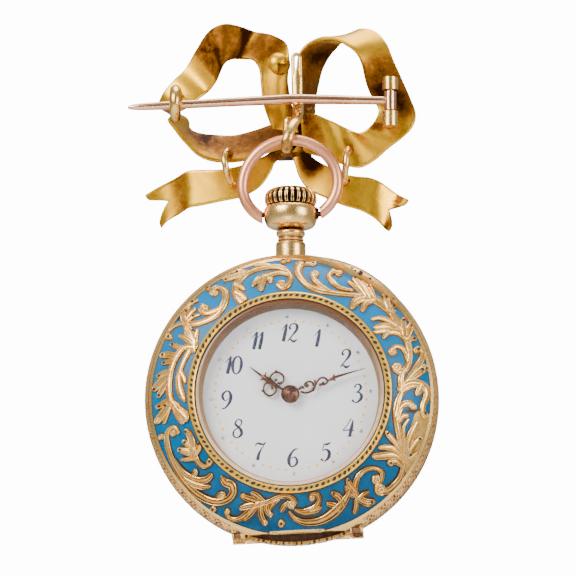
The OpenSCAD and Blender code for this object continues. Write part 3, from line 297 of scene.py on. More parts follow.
# Its skins: name, body, first angle and turn, steps, and a profile of radius and height
ENGRAVED = [
    ("engraved_band", "case", (0, 360), 1080,
     [(15.0, -0.52), (15.06, -0.45), (15.06, -0.2), (15.06, 0.05), (15.06, 0.2)]),
    ("engraved_band_top", "case", PAST_HINGE, 920,
     [(15.06, 0.2), (15.06, 0.4), (15.06, 0.6), (15.04, 0.74), (14.99, 0.79)]),
    ("engraved_strip", "case", AT_HINGE, 170,
     [(15.06, 0.2), (15.06, 0.38), (15.02, 0.44), (14.88, 0.46), (14.75, 0.45)]),
    ("engraved_slope", "cover", PAST_HINGE, 920,
     [(14.99, 0.85), (15.05, 0.92), (15.06, 1.08), (15.02, 1.26), (14.96, 1.44), (14.8, 1.66),
      (14.62, 1.88)])
]
# Its leaf-like cuts: name, body, and the lowest and highest radius and height that they lie between
LEAF_CUTS = [
    ("leaf_cuts_cover", "cover", (15.06, 1.0), (14.83, 1.62)),
    ("leaf_cuts_case", "case", (15.07, -0.35), (15.07, 0.7))
]
LEAVES = 300

# The thumb lip's outer face: LIP_OFF more than the radius round the face's own centre, and height
LIP_FACE = [(15.15, 1.8), (14.9, 2.25), (14.55, 2.7), (14.2, 2.85), (13.2, 2.9)]
# Pits in the lip: x, y, radius
LIP_PITS = [
    (7.15, 12.71, 0.26), (6.24, 13.24, 0.14), (6.62, 12.96, 0.1), (8.12, 12.11, 0.15), (10.5, 10.0, 0.1)
]

# Scrolls on the enamel, drawn in their own units with the case's middle at DRAWING_MID:
# a row for each stroke, of points x (right), y (down) and width
DRAWING_MID = (290.8, 393.9)
DRAWING_UNIT = (0.1028, 0.1047)
# The dome's slope shifts what is drawn: the radius without a shift, and the shift for each millimetre outside
DRAWING_R = 12.35
DRAWING_SHIFT = (-0.03, 0.146)
SCROLLS = [
    # From the top, clockwise: the first stem with its head and two curls
    [[300, 266, 10], [298.5, 273, 8.5], [303, 281, 7], [310, 287, 7], [320, 291, 7], [332, 293.5, 6],
        [345, 295.5, 5], [360, 297, 5]],
    [[302, 264.5, 7], [309, 264.5, 5.5], [314, 265, 6]],
    [[330, 292, 4], [321, 286.5, 5], [315, 281, 6], [313.5, 276, 7]],
    [[352, 292, 3], [340, 289, 4.5], [332, 283, 5.5], [329.5, 277, 6], [333, 273, 5.5], [339, 274, 6]],
    # the leaf that it opens into, with its lobes
    [[360, 297, 6], [370, 299, 10], [379, 303.5, 10], [387, 310, 9], [393, 317, 7]],
    [[366, 297, 6], [357, 289.5, 6.5], [349, 284, 3.5]],
    [[368, 298, 7], [361, 288, 7], [354, 280.5, 5]],
    [[371, 299, 6], [366, 290, 6], [362, 284, 4]],
    [[373, 300, 6], [371, 293, 6], [368, 287, 4.5]],
    [[372, 300, 9], [362, 300, 9], [355.5, 303, 9], [352.5, 308, 6]],
    [[373, 302, 7], [366, 304.5, 8], [362.5, 311, 5.5]],
    [[388, 309, 6], [386, 302, 6.5], [384, 296.5, 4]],
    [[388, 311, 7], [391.5, 308.5, 6.5], [393.5, 308, 4.5]],
    [[389, 312, 7], [392.5, 313.5, 5]],
    # the second leaf on the right
    [[392, 316, 7], [398, 325, 8], [403, 335, 9], [407, 344, 7], [409, 354, 5.5], [408.5, 363, 5.5],
        [405, 370, 6], [399, 373, 6], [394.5, 370, 6]],
    [[401, 330, 7], [389, 322.5, 6.5], [379, 319.5, 5], [372, 320.5, 3.5]],
    [[401, 333, 8], [387, 327.5, 8], [376, 328, 6]],
    [[400, 335, 7], [387, 331.5, 8], [375.5, 332.5, 5]],
    [[404, 339, 6], [397, 333.5, 8], [388, 333.5, 7], [383.5, 338, 4.5]],
    [[404, 337, 6], [403, 329, 6.5], [402.5, 321.5, 5]],
    [[406, 339, 7], [408.5, 331.5, 8.5], [410.5, 326.5, 6]],
    [[407, 343, 6], [410, 340.5, 7], [413.5, 340.5, 5.5]],
    [[406.5, 361, 4], [405.5, 355, 5.5], [401.5, 349.5, 5], [395, 347.7, 4.5], [390, 351, 4]],
    [[402, 373, 4], [400, 379, 6], [400, 385, 6], [400, 391, 5]],
    # the outer leaf on the right
    [[403, 384, 4], [411, 376, 7], [417, 367, 7], [421, 360, 6], [422, 353.5, 5.5], [418, 350, 5.5]],
    [[413, 378, 6], [419, 373, 8], [424, 369, 7]],
    [[399, 389, 6], [407, 384.5, 8], [416, 384, 9], [424, 388.5, 8.5], [426, 396, 7.5], [422.5, 405, 6],
        [421.5, 412, 6], [424, 416.5, 7]],
    [[420, 387, 8], [418, 392, 7], [416, 395, 5]],
    # the stem down the right side
    [[416, 386.5, 4], [407, 388.5, 5], [401, 393, 5], [397, 401, 6], [395.5, 411, 7], [396, 421, 7],
        [398, 433, 7], [400.5, 446, 6.5], [403, 458, 5], [404, 466, 3]],
    [[396, 417, 6], [399, 408.5, 6.5], [404.5, 404, 7], [410, 405, 7], [412.5, 408, 6]],
    [[398, 421, 5], [401.5, 416.5, 5.5], [405.5, 416, 5]],
    [[407, 420, 3], [402.7, 428, 3.5], [403, 443, 3.5], [404.3, 460, 2.5]],
    [[404, 464, 3], [406, 449, 5.5], [410, 436, 8], [415.5, 424, 5]],
    [[405, 464, 3], [409.5, 451, 6], [414.5, 443, 6.5], [419, 438, 4]],
    [[406, 463, 3], [411, 457, 5], [416, 453, 4]],
    [[401, 452, 4], [394, 442, 5.5], [388.5, 435, 6.5], [386, 431.5, 4.5]],
    [[401.5, 457, 4], [393, 448.5, 6], [386, 446.5, 6.5], [379.5, 446.5, 4.5]],
    [[402, 461, 5], [393.5, 455, 7.5], [383, 455, 8.5], [374.5, 455, 7]],
    [[402, 467, 5], [396, 461.5, 7], [390, 461.5, 6]],
    [[403.5, 463, 4], [401.3, 471, 5], [398, 479.5, 5.5], [391.5, 486.5, 6], [385.5, 490.5, 6.5],
        [380, 490, 6.5]],
    # the scroll at the lower right
    [[380.5, 479, 5], [381.3, 472, 5], [375, 467.5, 4.5], [367, 467.7, 4.5], [359.5, 472, 5],
        [355.5, 480, 6], [354.7, 488, 6], [357, 495, 6], [364, 499.5, 6], [373, 500.5, 4]],
    [[358, 498, 5], [366, 502.5, 6], [372, 501.5, 4]],
    [[359, 497, 4], [363, 493.5, 5], [367.5, 491, 3]],
    [[354.5, 489, 6], [350, 484, 7], [347.5, 478, 5]],
    [[353, 494, 5], [348, 491, 5], [346, 485.5, 4]],
    [[356, 499, 4.5], [356, 505, 5], [354, 511, 4]],
    # the stem along the bottom, with its lobes, the inner curl and the rosette
    [[290.5, 510, 3], [295, 516, 4.5], [304, 520, 6], [316, 520, 7], [326, 516.5, 8], [335, 510, 9],
        [342, 502.5, 8], [347, 494.5, 6], [349.5, 487, 4]],
    [[343, 503, 6], [339, 495.5, 7], [333, 491, 5]],
    [[338, 508, 6], [334.5, 504, 6.5], [328.5, 502, 5]],
    [[310.5, 496, 4], [312, 491.7, 4], [317.3, 492, 5], [319.3, 497.5, 5], [316.5, 503.5, 5.5],
        [311, 507, 5.5], [303, 509, 5], [296.5, 508, 4]],
    [[311, 508, 5], [316, 507.5, 6.5], [320.5, 506, 3.5]],
    [[298, 509, 3], [306, 511.5, 4], [315, 510.3, 3]],
    [[289.5, 499.5, 4], [285.5, 503, 5.5], [282.5, 507.5, 5]],
    # the leaf left of it
    [[229, 509, 5], [229.5, 514.5, 4], [236, 517, 4.5], [243, 515, 5.5], [250, 509.5, 7], [257, 502.5, 6],
        [265, 500, 5], [271, 498, 5], [278, 494.5, 5], [285.5, 493, 4.5], [292.5, 495, 4.5],
        [296, 499.5, 4]],
    [[264, 499.5, 5], [253, 497, 7], [243.5, 493.3, 5.5]],
    [[264, 498, 5], [258, 493, 6.5], [253.5, 490, 5]],
    [[260, 502, 5], [250, 503.5, 6.5], [242.5, 505.5, 5]],
    [[257, 504, 6], [251, 511, 7], [246.5, 516.5, 4.5]],
    [[262, 502, 5], [262, 512, 6.5], [265.5, 520, 5.5]],
    [[268, 500, 6], [267.5, 507, 6], [271.3, 512.3, 4.8]],
    [[279, 496.5, 4], [274, 500.5, 5], [271, 506.5, 3]],
    # the large scroll at the lower left
    [[180, 430.5, 4], [177, 425.7, 4.5], [171.5, 427.5, 5], [168.7, 434, 5.5], [169.5, 444, 5.5],
        [173, 456, 6], [179, 468, 6], [187, 480, 6.5], [197, 490.3, 7], [209, 497.5, 7], [220, 499.7, 7.5],
        [229.5, 496.3, 7.5], [234.3, 489.5, 8], [232.5, 482, 9], [226.5, 479.3, 8.5], [223, 474, 3]],
    [[176, 458, 4], [183, 468, 5.5], [191, 474.5, 6.5], [200, 478, 7], [208, 477, 7.5], [212, 473.5, 6.5]],
    [[192, 474, 4], [197, 472, 5.5], [197, 468.3, 4.5]],
    [[186, 476.5, 4], [195, 482, 5], [204, 484.7, 5.5], [211, 484, 3.5]],
    [[219, 497, 5], [221, 492.3, 5], [225, 491.5, 5]],
    [[211, 461.5, 4.5], [206, 464, 5], [200, 460, 5.5], [196, 453, 7], [194, 446, 8], [193, 438, 8],
        [190.3, 431.5, 6.5], [188, 428.3, 4.5]],
    [[194, 446, 7], [189.5, 442.5, 6.5], [186, 439.5, 5]],
    [[195, 452, 6.5], [188, 449.5, 8], [181.5, 447.3, 5]],
    [[197, 456, 5], [191, 457, 5], [184.5, 457.3, 4]],
    [[197, 451, 6.5], [200, 445.5, 7], [200.5, 440.5, 5]],
    # the leaves up the left side
    [[194, 346, 9], [186, 347, 6], [180, 353, 7], [175, 362, 7], [171.7, 373, 7], [170.7, 385, 7],
        [172, 397, 7], [176, 404, 8.5], [182, 411, 10], [186, 415, 12]],
    [[176, 404, 7], [180, 412, 9], [184, 418.5, 8]],
    [[177, 404, 7], [184, 411, 10], [190, 413, 6.5]],
    [[174, 401, 6], [179, 404, 6], [182, 406, 3.5]],
    [[172, 401, 7], [166.5, 410, 9.5], [160, 418.3, 8.5]],
    [[171, 405, 6], [168, 413, 6.5], [166.5, 420.5, 4]],
    [[172, 399, 7], [166, 402, 7.5], [160, 405.3, 6]],
    [[171, 374, 7], [163, 380.5, 9.5], [157, 387, 7.5]],
    [[171, 371, 7], [165, 372.5, 7], [160, 375.3, 4.5]],
    [[169, 380, 6], [164.5, 387.5, 7], [160.7, 394.5, 5]],
    [[178, 355, 7], [171, 354, 8], [165, 354.3, 7.5]],
    [[176, 359, 6], [170, 361, 5.5], [165.3, 362.3, 4.5]],
    [[186, 347.5, 6], [179, 346.3, 6.5], [173.5, 343.7, 4.5]],
    [[192, 348, 8], [188.5, 354, 6], [184.5, 362, 5.5], [181.3, 371, 6], [180.3, 379, 7], [181.5, 388, 8],
        [184, 394.5, 6.5], [186, 398.7, 3]],
    [[182, 371, 5], [185, 375.5, 6], [186.3, 380, 4]],
    [[196, 348, 9], [194.5, 341, 9.5], [192, 333, 9], [189, 327, 6.5]],
    [[192, 341, 7], [187.5, 337.7, 7], [182.5, 335.3, 4.5]],
    [[196, 341, 7], [197, 335, 6.5], [198.5, 330.3, 4.5]],
    [[192, 337, 7], [188.5, 331.5, 6.5], [187.3, 327, 4.5]],
    [[168.5, 337, 4], [168.7, 331.7, 4.5], [173, 327, 4.5], [180, 323.6, 4.5], [187, 322.5, 5]],
    # the curls at the upper left
    [[188, 323, 7], [184.7, 317, 7], [187, 308, 7.5], [192, 302.5, 6], [198, 300.7, 3.5]],
    [[188, 318, 6], [192, 312.3, 6.5], [196, 309.5, 4]],
    [[190, 320, 5], [195, 316, 5], [200, 315, 3.5]],
    [[186, 323.3, 7], [196, 323.7, 7], [206, 321, 6.5], [216, 315.7, 7], [223, 308, 7.5], [226.7, 299, 7.5],
        [225.5, 291, 7], [219.5, 287.7, 5], [213.8, 290.3, 4.5], [213, 294.3, 4]],
    [[222, 308, 5], [214, 311.7, 6], [206, 313, 6.5], [202, 309.3, 5], [204, 305.7, 4.5]],
    # the scroll that comes back to the top
    [[246, 304, 6], [240, 299.5, 7.5], [236.3, 292, 8], [238, 284, 8], [243, 277.3, 7.5],
        [250.5, 272.3, 6.5], [260, 269, 6.5], [270, 267.7, 6], [280, 268.3, 6], [288, 272.3, 5.5],
        [291.3, 279, 5.5], [288.5, 286, 6], [283, 288.5, 5], [278.7, 285.7, 4.5]],
    [[237, 285, 7], [241, 287, 6.5], [244.5, 289.3, 4.5]],
    [[238, 293, 7], [243, 295.5, 6.5], [246.3, 298.5, 5]],
    [[245, 275, 6], [235, 277.3, 6.5], [226, 280.3, 5]],
    [[248, 273, 5], [241, 272.3, 5], [236.5, 273.5, 3.5]],
    [[270, 267, 4.5], [262, 265.3, 4.5], [254.5, 265.7, 3.5]],
    [[288, 276, 3.5], [280, 274, 4.5], [271, 275.5, 7], [262, 279, 9], [256.5, 283, 6], [254, 286.3, 3]],
    [[265, 279, 8], [262.5, 285, 8], [262, 289.3, 6.5]],
    [[268, 277, 7], [271, 280, 6.5], [271.5, 282.3, 5]]
]
# Round ends of the curls, and grains between them: x, y, radius
KNOBS = [
    [315.5, 275.5, 4.5], [339, 275, 4], [396.3, 368.3, 5.8], [392, 352.7, 4.8], [415.7, 352, 3.8],
    [424, 369, 4.3], [424, 416.5, 4.2], [412, 407.3, 3.8], [389.5, 462.5, 3.4], [379.5, 489, 6.2],
    [376, 479, 5.4], [312.3, 495.7, 3.2], [292, 502, 4.6], [228.7, 509.3, 3.2], [244.5, 493.2, 2.9],
    [266, 520.3, 3], [271.5, 512.4, 2.7], [175.5, 431.3, 3.8], [211.3, 458.5, 3.8], [223.7, 494, 3.2],
    [159.7, 418.7, 4.3], [164.7, 354.3, 3.8], [170.5, 336.3, 3.8], [216, 293.5, 3.8], [206, 308, 4.4],
    [281.7, 284.3, 4.4], [284, 262, 3.6], [289, 261.3, 2.6], [282, 521.3, 3.8], [214.5, 507, 3.6],
    [163, 435, 3.5], [209, 288.3, 3], [313, 265, 3]
]

# Across one half of a scroll: share of its half width, depth under its top, and darkening: painted shade in
# its low middle and at its foot, and its engraved line darkened
SCROLL_HALF = [
    (0, 0.04, 0.03), (0.28, 0.07, 0.1), (0.5, 0.1, 0.4), (0.6, 0.05, 0.45), (0.7, 0, 0), (0.84, 0, 0),
    (0.95, 0, 0.25), (1, 0, 0.7)
]
SCROLL_SECTION = [(-v, depth, darkening) for v, depth, darkening in SCROLL_HALF[:0:-1]] + SCROLL_HALF
# Half of a stroke's drawn width, less what its dark outline takes
STROKE_HALF = 0.46
# A knob's shares of its radius, from its edge to its middle
KNOB_SHARES = (1, 0.96, 0.86, 0.76, 0.66, 0.56, 0.46, 0.36, 0.26, 0.16, 0.04)

# Dots drilled into the scrolls, in the same drawing: x, y
DRILLED = [
    (305, 264), (313, 265), (354.5, 280), (368, 288.5), (386, 299), (393, 308), (402.5, 322), (410.5, 327),
    (413, 340.5), (417, 351), (421, 371), (424.3, 370), (423.3, 414), (386.7, 432.5), (389.5, 462.5),
    (371, 501), (348, 478), (333.5, 491), (418, 439), (409, 455), (284, 262), (209, 288.3), (227, 280),
    (238, 272.6), (188, 311), (194, 302), (195, 316.5), (170.5, 336.3), (194.5, 330), (174.5, 344),
    (164.7, 354.3), (166.3, 362), (161.5, 375), (156.6, 388), (161.2, 394), (167.3, 404), (161.5, 405),
    (188, 429), (187, 440), (182, 447.5), (200.3, 441), (211.3, 458.5), (282, 521.3), (214.5, 507)
]
# A drilled dot: radius and height over the enamel
DRILLED_DOT = [(0.13, 0.2), (0.12, 0.285), (0.01, 0.29)]

# Worn and dark places on the enamel, as strokes of the same drawing
BARE_PATCH = [[421, 419, 16], [420, 432, 22], [417, 445, 23], [412, 458, 18], [406, 469, 8]]
DARK_RIGHT = [[406, 412, 2], [412, 411.5, 4.5], [418, 413.5, 4]]
DARK_LEFT = [[182, 312, 3], [179, 316, 6], [176, 320, 3]]


def curve_part(a, b, c, d, t):
    """A smooth curve from b to c, with a and d as its neighbours, for each column."""
    return [(2 * q + (r - p) * t + (2 * p - 5 * q + 4 * r - s) * t * t + (3 * q - p - 3 * r + s) * t ** 3) / 2
            for p, q, r, s in zip(a, b, c, d)]


def row_at(rows, s):
    """The table's row at s rows from its start, on a smooth curve through all rows."""
    last = len(rows) - 1
    i = min(int(s), last - 1)
    return curve_part(rows[max(i - 1, 0)], rows[i], rows[i + 1], rows[min(i + 2, last)], s - i)


def eased(rows, steps):
    """The table with more rows, steps to each of its own, all on a smooth curve."""
    return [row_at(rows, i / steps) for i in range((len(rows) - 1) * steps + 1)]


def clamped(value, low=0, high=1):
    """The value, or the end of its range that it passes."""
    return min(max(value, low), high)


def circle(count):
    """Cosine and sine of angles spread evenly over a full turn."""
    angles = [2 * math.pi * i / count for i in range(count)]
    return [(math.cos(angle), math.sin(angle)) for angle in angles]


def turned(x, y, degrees):
    """A point turned round the origin."""
    c = math.cos(math.radians(degrees))
    s = math.sin(math.radians(degrees))
    return x * c - y * s, x * s + y * c


def in_case(x, y, z, turn=DIAL_TURN):
    """A point that is drawn flat, its face up, in the hanging case."""
    x, y = turned(x, y, turn)
    return Vector((CASE[0] + x, CASE[1] - z, CASE[2] + y))


def on_pendant(x, y, z):
    """A point drawn round the pendant's upright axis."""
    return Vector((x, HANG_Y + y, z))


class Shape:
    """Points and faces of one piece, gathered from its skins, with a share of darkening for each point:
    tarnish, dark seams and cuts, and painted shade.
    """

    def __init__(self):
        self.points = []
        self.faces = []
        self.shades = []

    def skin(self, rings, wrap=True, closed=False, ends=None, shades=None):
        """Faces between neighbouring rings of points. ends is None, or fan or strip for caps."""
        first = len(self.points)
        size = len(rings[0])
        for ring in rings:
            self.points.extend(ring)
        self.shades.extend(shades or [0.0] * (size * len(rings)))
        for i in range(len(rings) if closed else len(rings) - 1):
            here = first + i * size
            there = first + (i + 1) % len(rings) * size
            for j in range(size if wrap else size - 1):
                k = (j + 1) % size
                self.faces.append((here + j, here + k, there + k, there + j))
        for start in (first, first + (len(rings) - 1) * size):
            if ends == "fan":
                self.faces.append(tuple(range(start, start + size)))
            elif ends == "strip":
                for j in range(size // 2):
                    corners = (j, j + 1, size - j - 1, (size - j) % size)
                    self.faces.append(tuple(start + c for c in dict.fromkeys(corners)))

    def tube(self, path, radius, sides, shade=0.0):
        """A round wire along a path, its radius and its darkening, from tarnish and painted shade, a number
        or one for each point.
        """
        path = [Vector(p) for p in path]
        radii = list(radius) if isinstance(radius, (list, tuple)) else [radius] * len(path)
        rings = []
        side = None
        last = len(path) - 1
        for i, point in enumerate(path):
            along = (path[min(i + 1, last)] - path[max(i - 1, 0)]).normalized()
            if side is None:
                side = along.orthogonal()
            side = (side - along * side.dot(along)).normalized()
            up = along.cross(side)
            rings.append([point + (side * c + up * s) * radii[i] for c, s in circle(sides)])
        shades = shade if isinstance(shade, (list, tuple)) else [shade] * len(path)
        self.skin(rings, ends="fan", shades=[share for share in shades for _ in range(sides)])

    def lathe(self, profile, place, steps, wrap=True, warp=None, start=0.0, turn=360.0):
        """A profile of radius and height, turned round the axis that place draws round.
        warp gives a point's growth of radius and its darkening (dark cuts and seams, and painted shade), from
        its angle, radius and height."""
        full = turn >= 360
        rings = []
        shades = []
        for i in range(steps if full else steps + 1):
            angle = math.radians(start + turn * i / steps)
            ring = []
            for r, h in profile:
                grow, shade = warp(angle, r, h) if warp else (0.0, 0.0)
                ring.append(place((r + grow) * math.cos(angle), (r + grow) * math.sin(angle), h))
                shades.append(shade)
            rings.append(ring)
        self.skin(rings, wrap=wrap, closed=full, shades=shades)

    def ball(self, centre, radius, rings=8, sides=12, squash=1.0, shade=0.0):
        """A ball, flattened from front to back."""
        axis = Vector((0, -1, 0))
        side = axis.orthogonal().normalized()
        up = axis.cross(side)
        skin = []
        for i in range(rings + 1):
            a = math.pi * (0.02 + 0.96 * i / rings)
            middle = Vector(centre) - axis * math.cos(a) * radius * squash
            skin.append([middle + (side * c + up * s) * math.sin(a) * radius for c, s in circle(sides)])
        self.skin(skin, ends="fan", shades=[shade] * (sides * (rings + 1)))


def make(shape, name, material, body, slot, *replaced, sharp=40, outward=True):
    """The shape as a piece that rides on a body, with its material; slot is not used."""
    mesh = bpy.data.meshes.new(name)
    mesh.from_pydata([Vector(p) * MM for p in shape.points], [], shape.faces)
    if outward:
        build = bmesh.new()
        build.from_mesh(mesh)
        bmesh.ops.recalc_face_normals(build, faces=build.faces)
        build.to_mesh(mesh)
        build.free()
    mesh.polygons.foreach_set("use_smooth", [True] * len(mesh.polygons))
    mesh.set_sharp_from_angle(angle=math.radians(sharp))
    shade = mesh.attributes.new("shade", "FLOAT", "POINT")
    shade.data.foreach_set("value", shape.shades)
    mesh.materials.append(material)
    piece = bpy.data.objects.new(name, mesh)
    bpy.context.scene.collection.objects.link(piece)
    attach(piece, body)
    if replaced:
        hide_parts(*replaced)


def dress(node, material):
    """Gives a CAD node its material."""
    obj = nodes[node]
    obj.data.materials.clear()
    obj.data.materials.append(material)


# Materials


def new_material(name):
    """A new material, its node tree and its Principled shader."""
    material = bpy.data.materials.new(name)
    material.use_nodes = True
    tree = material.node_tree
    return material, tree, tree.nodes["Principled BSDF"]


def feed(tree, node, inputs):
    """Gives a node its inputs; each is a value or another node's output."""
    for key, value in inputs.items():
        if isinstance(value, bpy.types.NodeSocket):
            tree.links.new(value, node.inputs[key])
        else:
            node.inputs[key].default_value = value


def add_node(tree, kind, inputs=(), **settings):
    """A new node with its settings and inputs."""
    node = tree.nodes.new(kind)
    for key, value in settings.items():
        setattr(node, key, value)
    feed(tree, node, dict(inputs))
    return node


def noise(tree, scale, detail, rough=0.55):
    """Noise on the surface, its scale in features a metre."""
    place = add_node(tree, "ShaderNodeTexCoord").outputs["Object"]
    inputs = {"Vector": place, "Scale": scale, "Detail": detail, "Roughness": rough}
    return add_node(tree, "ShaderNodeTexNoise", inputs).outputs["Fac"]


def remap(tree, value, low, high, to_low, to_high):
    """A value taken from one range to another."""
    inputs = {"Value": value, "From Min": low, "From Max": high, "To Min": to_low, "To Max": to_high}
    return add_node(tree, "ShaderNodeMapRange", inputs).outputs["Result"]


def blend(tree, share, first, second):
    """A mix of two colours, each three numbers or another node's output."""
    node = add_node(tree, "ShaderNodeMix", {"Factor": share}, data_type="RGBA")
    for key, value in ((6, first), (7, second)):
        feed(tree, node, {key: (*value, 1) if isinstance(value, tuple) else value})
    return node.outputs[2]


def math_node(tree, operation, first, second, clamp=False):
    """A sum, product or the like of two values."""
    inputs = {0: first, 1: second}
    return add_node(tree, "ShaderNodeMath", inputs, operation=operation, use_clamp=clamp).outputs[0]


def roughen(tree, shader, strength, depth, height):
    """Fine bumps on a material, their depth in millimetres."""
    bump = add_node(tree, "ShaderNodeBump", {"Strength": strength, "Distance": depth * MM, "Height": height})
    feed(tree, shader, {"Normal": bump.outputs["Normal"]})


def down_case(tree, top, bottom):
    """A share that grows from 0 to 1 between two heights above the case's middle."""
    place = add_node(tree, "ShaderNodeTexCoord").outputs["Object"]
    height = add_node(tree, "ShaderNodeSeparateXYZ", {"Vector": place}).outputs["Z"]
    return remap(tree, height, (CASE[2] + top) * MM, (CASE[2] + bottom) * MM, 0, 1)


def metal(name, bright, warm, dark, rough, patch=350, relief=0.02, metallic=1.0):
    """Worn polished metal: two tones in soft patches, tarnish and painted shade where the shape's shade
    attribute says, fine scratches.
    """
    material, tree, shader = new_material(name)
    soft = noise(tree, patch, 4)
    fine = noise(tree, 6000, 4)
    tone = blend(tree, remap(tree, soft, 0.35, 0.68, 0, 1), bright, warm)
    # The shape's darkening: tarnish and dark seams and cuts, and also painted shade and reflections
    darkening = add_node(tree, "ShaderNodeAttribute", attribute_name="shade").outputs["Fac"]
    blotch = remap(tree, noise(tree, 1400, 6, rough=0.7), 0.35, 0.65, 0.7, 1.2)
    full = math_node(tree, "MULTIPLY", darkening, darkening)
    tarnish_and_shade = math_node(tree, "MULTIPLY", darkening, math_node(tree, "MAXIMUM", blotch, full), clamp=True)
    brown = tuple(c * share + 0.006 for c, share in zip(warm, (0.32, 0.22, 0.15)))
    browned = blend(tree, remap(tree, tarnish_and_shade, 0, 0.5, 0, 1), tone, brown)
    dull = math_node(tree, "MULTIPLY", tarnish_and_shade, 0.3)
    uneven = remap(tree, fine, 0.3, 0.7, rough * 0.8, rough * 1.25)
    feed(tree, shader, {
        "Base Color": blend(tree, remap(tree, tarnish_and_shade, 0.5, 1, 0, 1), browned, dark),
        "Roughness": math_node(tree, "ADD", dull, uneven),
        "Metallic": metallic
    })
    roughen(tree, shader, 0.6, relief, fine)
    return material


def plain(name, first, second, scale, rough, metallic=0.0, coat=0.0, relief=0.0, speck=0.5, above=None):
    """A surface of two mixed tones that isn't polished metal, with another tone towards the top of the case
    if one is given, as painted light and shade.
    """
    material, tree, shader = new_material(name)
    soft = noise(tree, scale, 5)
    tone = blend(tree, remap(tree, soft, 0.5 - speck / 2, 0.5 + speck / 2, 0, 1), first, second)
    if above:
        tone = blend(tree, down_case(tree, 7, -7), above, tone)
    feed(tree, shader, {"Base Color": tone, "Roughness": rough, "Metallic": metallic})
    feed(tree, shader, {"Coat Weight": coat, "Coat Roughness": 0.06})
    if relief:
        roughen(tree, shader, 0.5, relief, soft)
    return material


def enamel_material():
    """Blue enamel, brighter at the top of the case and darker at its bottom: painted light and shade."""
    material, tree, shader = new_material("blue_enamel")
    base = blend(tree, down_case(tree, 8, -14), (0.0, 0.155, 0.37), (0.0, 0.05, 0.12))
    cloud = remap(tree, noise(tree, 500, 4), 0.4, 0.75, 0, 0.35)
    feed(tree, shader, {
        "Base Color": blend(tree, cloud, base, (0.0, 0.17, 0.38)),
        "Roughness": 0.4,
        "Specular IOR Level": 0.1,
        "Coat Weight": 0.1,
        "Coat Roughness": 0.12
    })
    roughen(tree, shader, 0.3, 0.01, noise(tree, 3000, 3))
    return material


def glass_material():
    """Clear glass, thin enough to look through without bending."""
    material, tree, shader = new_material("crystal_clear")
    haze = remap(tree, noise(tree, 200, 3), 0.3, 0.8, 0.004, 0.02)
    feed(tree, shader, {"Alpha": haze, "Base Color": (0.95, 0.97, 1.0, 1), "Roughness": 0.04})
    return material


# Metals: the bright tone, the warm tone, the tone for tarnish and painted shade, and the roughness
RIBBON_GOLD = metal("ribbon_gold_worn", (0.76, 0.42, 0.015), (0.62, 0.30, 0.005), (0.03, 0.008, 0.001), 0.36,
                    patch=250, relief=0.01)
FINDING_GOLD = metal("finding_gold_pale", (0.86, 0.56, 0.18), (0.74, 0.42, 0.09), (0.1, 0.03, 0.006), 0.24)
SOLDER = metal("solder_copper", (0.50, 0.19, 0.05), (0.34, 0.11, 0.02), (0.06, 0.02, 0.006), 0.35, patch=1500)
PIN_GOLD = metal("pin_gold_red", (0.80, 0.45, 0.26), (0.70, 0.36, 0.18), (0.1, 0.03, 0.01), 0.16)
ROSE_GOLD = metal("rose_gold_worn", (0.90, 0.41, 0.22), (0.78, 0.32, 0.15), (0.03, 0.01, 0.004), 0.38,
                  relief=0.008)
PENDANT_GOLD = metal("pendant_gold_worn", (0.92, 0.60, 0.22), (0.82, 0.49, 0.14), (0.015, 0.006, 0.002), 0.25)
CASE_GOLD = metal("case_gold_worn", (0.94, 0.60, 0.20), (0.89, 0.54, 0.155), (0.03, 0.010, 0.002), 0.27)
RIM_GOLD = metal("rim_gold_engraved", (0.95, 0.58, 0.21), (0.84, 0.44, 0.11), (0.010, 0.004, 0.001), 0.36,
                 patch=2500, metallic=0.9)
LIP_SHADE = metal("lip_slope_orange", (0.90, 0.54, 0.15), (0.76, 0.39, 0.07), (0.03, 0.01, 0.002), 0.42,
                  metallic=0.8)
SCROLL_GOLD = metal("scroll_gold_chased", (1.0, 0.68, 0.24), (0.92, 0.46, 0.06), (0.04, 0.01, 0.0), 0.22,
                    patch=1100, metallic=0.85)
DOTTED_GOLD = metal("dotted_ring_gold", (0.98, 0.58, 0.06), (0.86, 0.42, 0.02), (0.04, 0.01, 0.002), 0.3,
                    patch=1500, metallic=0.7)
HINGE_COPPER = metal("hinge_copper", (0.24, 0.12, 0.05), (0.12, 0.05, 0.02), (0.04, 0.015, 0.01), 0.3,
                     patch=900)
HAND_GOLD = metal("hand_copper", (0.13, 0.055, 0.032), (0.08, 0.03, 0.016), (0.04, 0.015, 0.01), 0.35,
                  patch=1500)
# Other surfaces: the two tones, the scale of their patches and the roughness
# The bezel's inner wall: brown as painted shade, and darker still towards the top as more painted shade
INNER_WALL_SHADE = plain("inner_wall_painted_shade", (0.52, 0.29, 0.085), (0.36, 0.18, 0.045), 700, 0.6,
                   above=(0.11, 0.05, 0.012))
# Black for the engraved cuts, dots and pits, and also for the painted shadow line inside the dotted ring
BLACK = plain("engraved_black_and_shadow", (0.006, 0.004, 0.002), (0.02, 0.01, 0.004), 3000, 0.5)
# Brown dirt and painted shade: the hinge's recess and a dark place at the enamel's edge
DIRT_AND_SHADE = plain("hinge_dirt_and_shade", (0.02, 0.008, 0.003), (0.12, 0.05, 0.015), 1600, 0.7, relief=0.03)
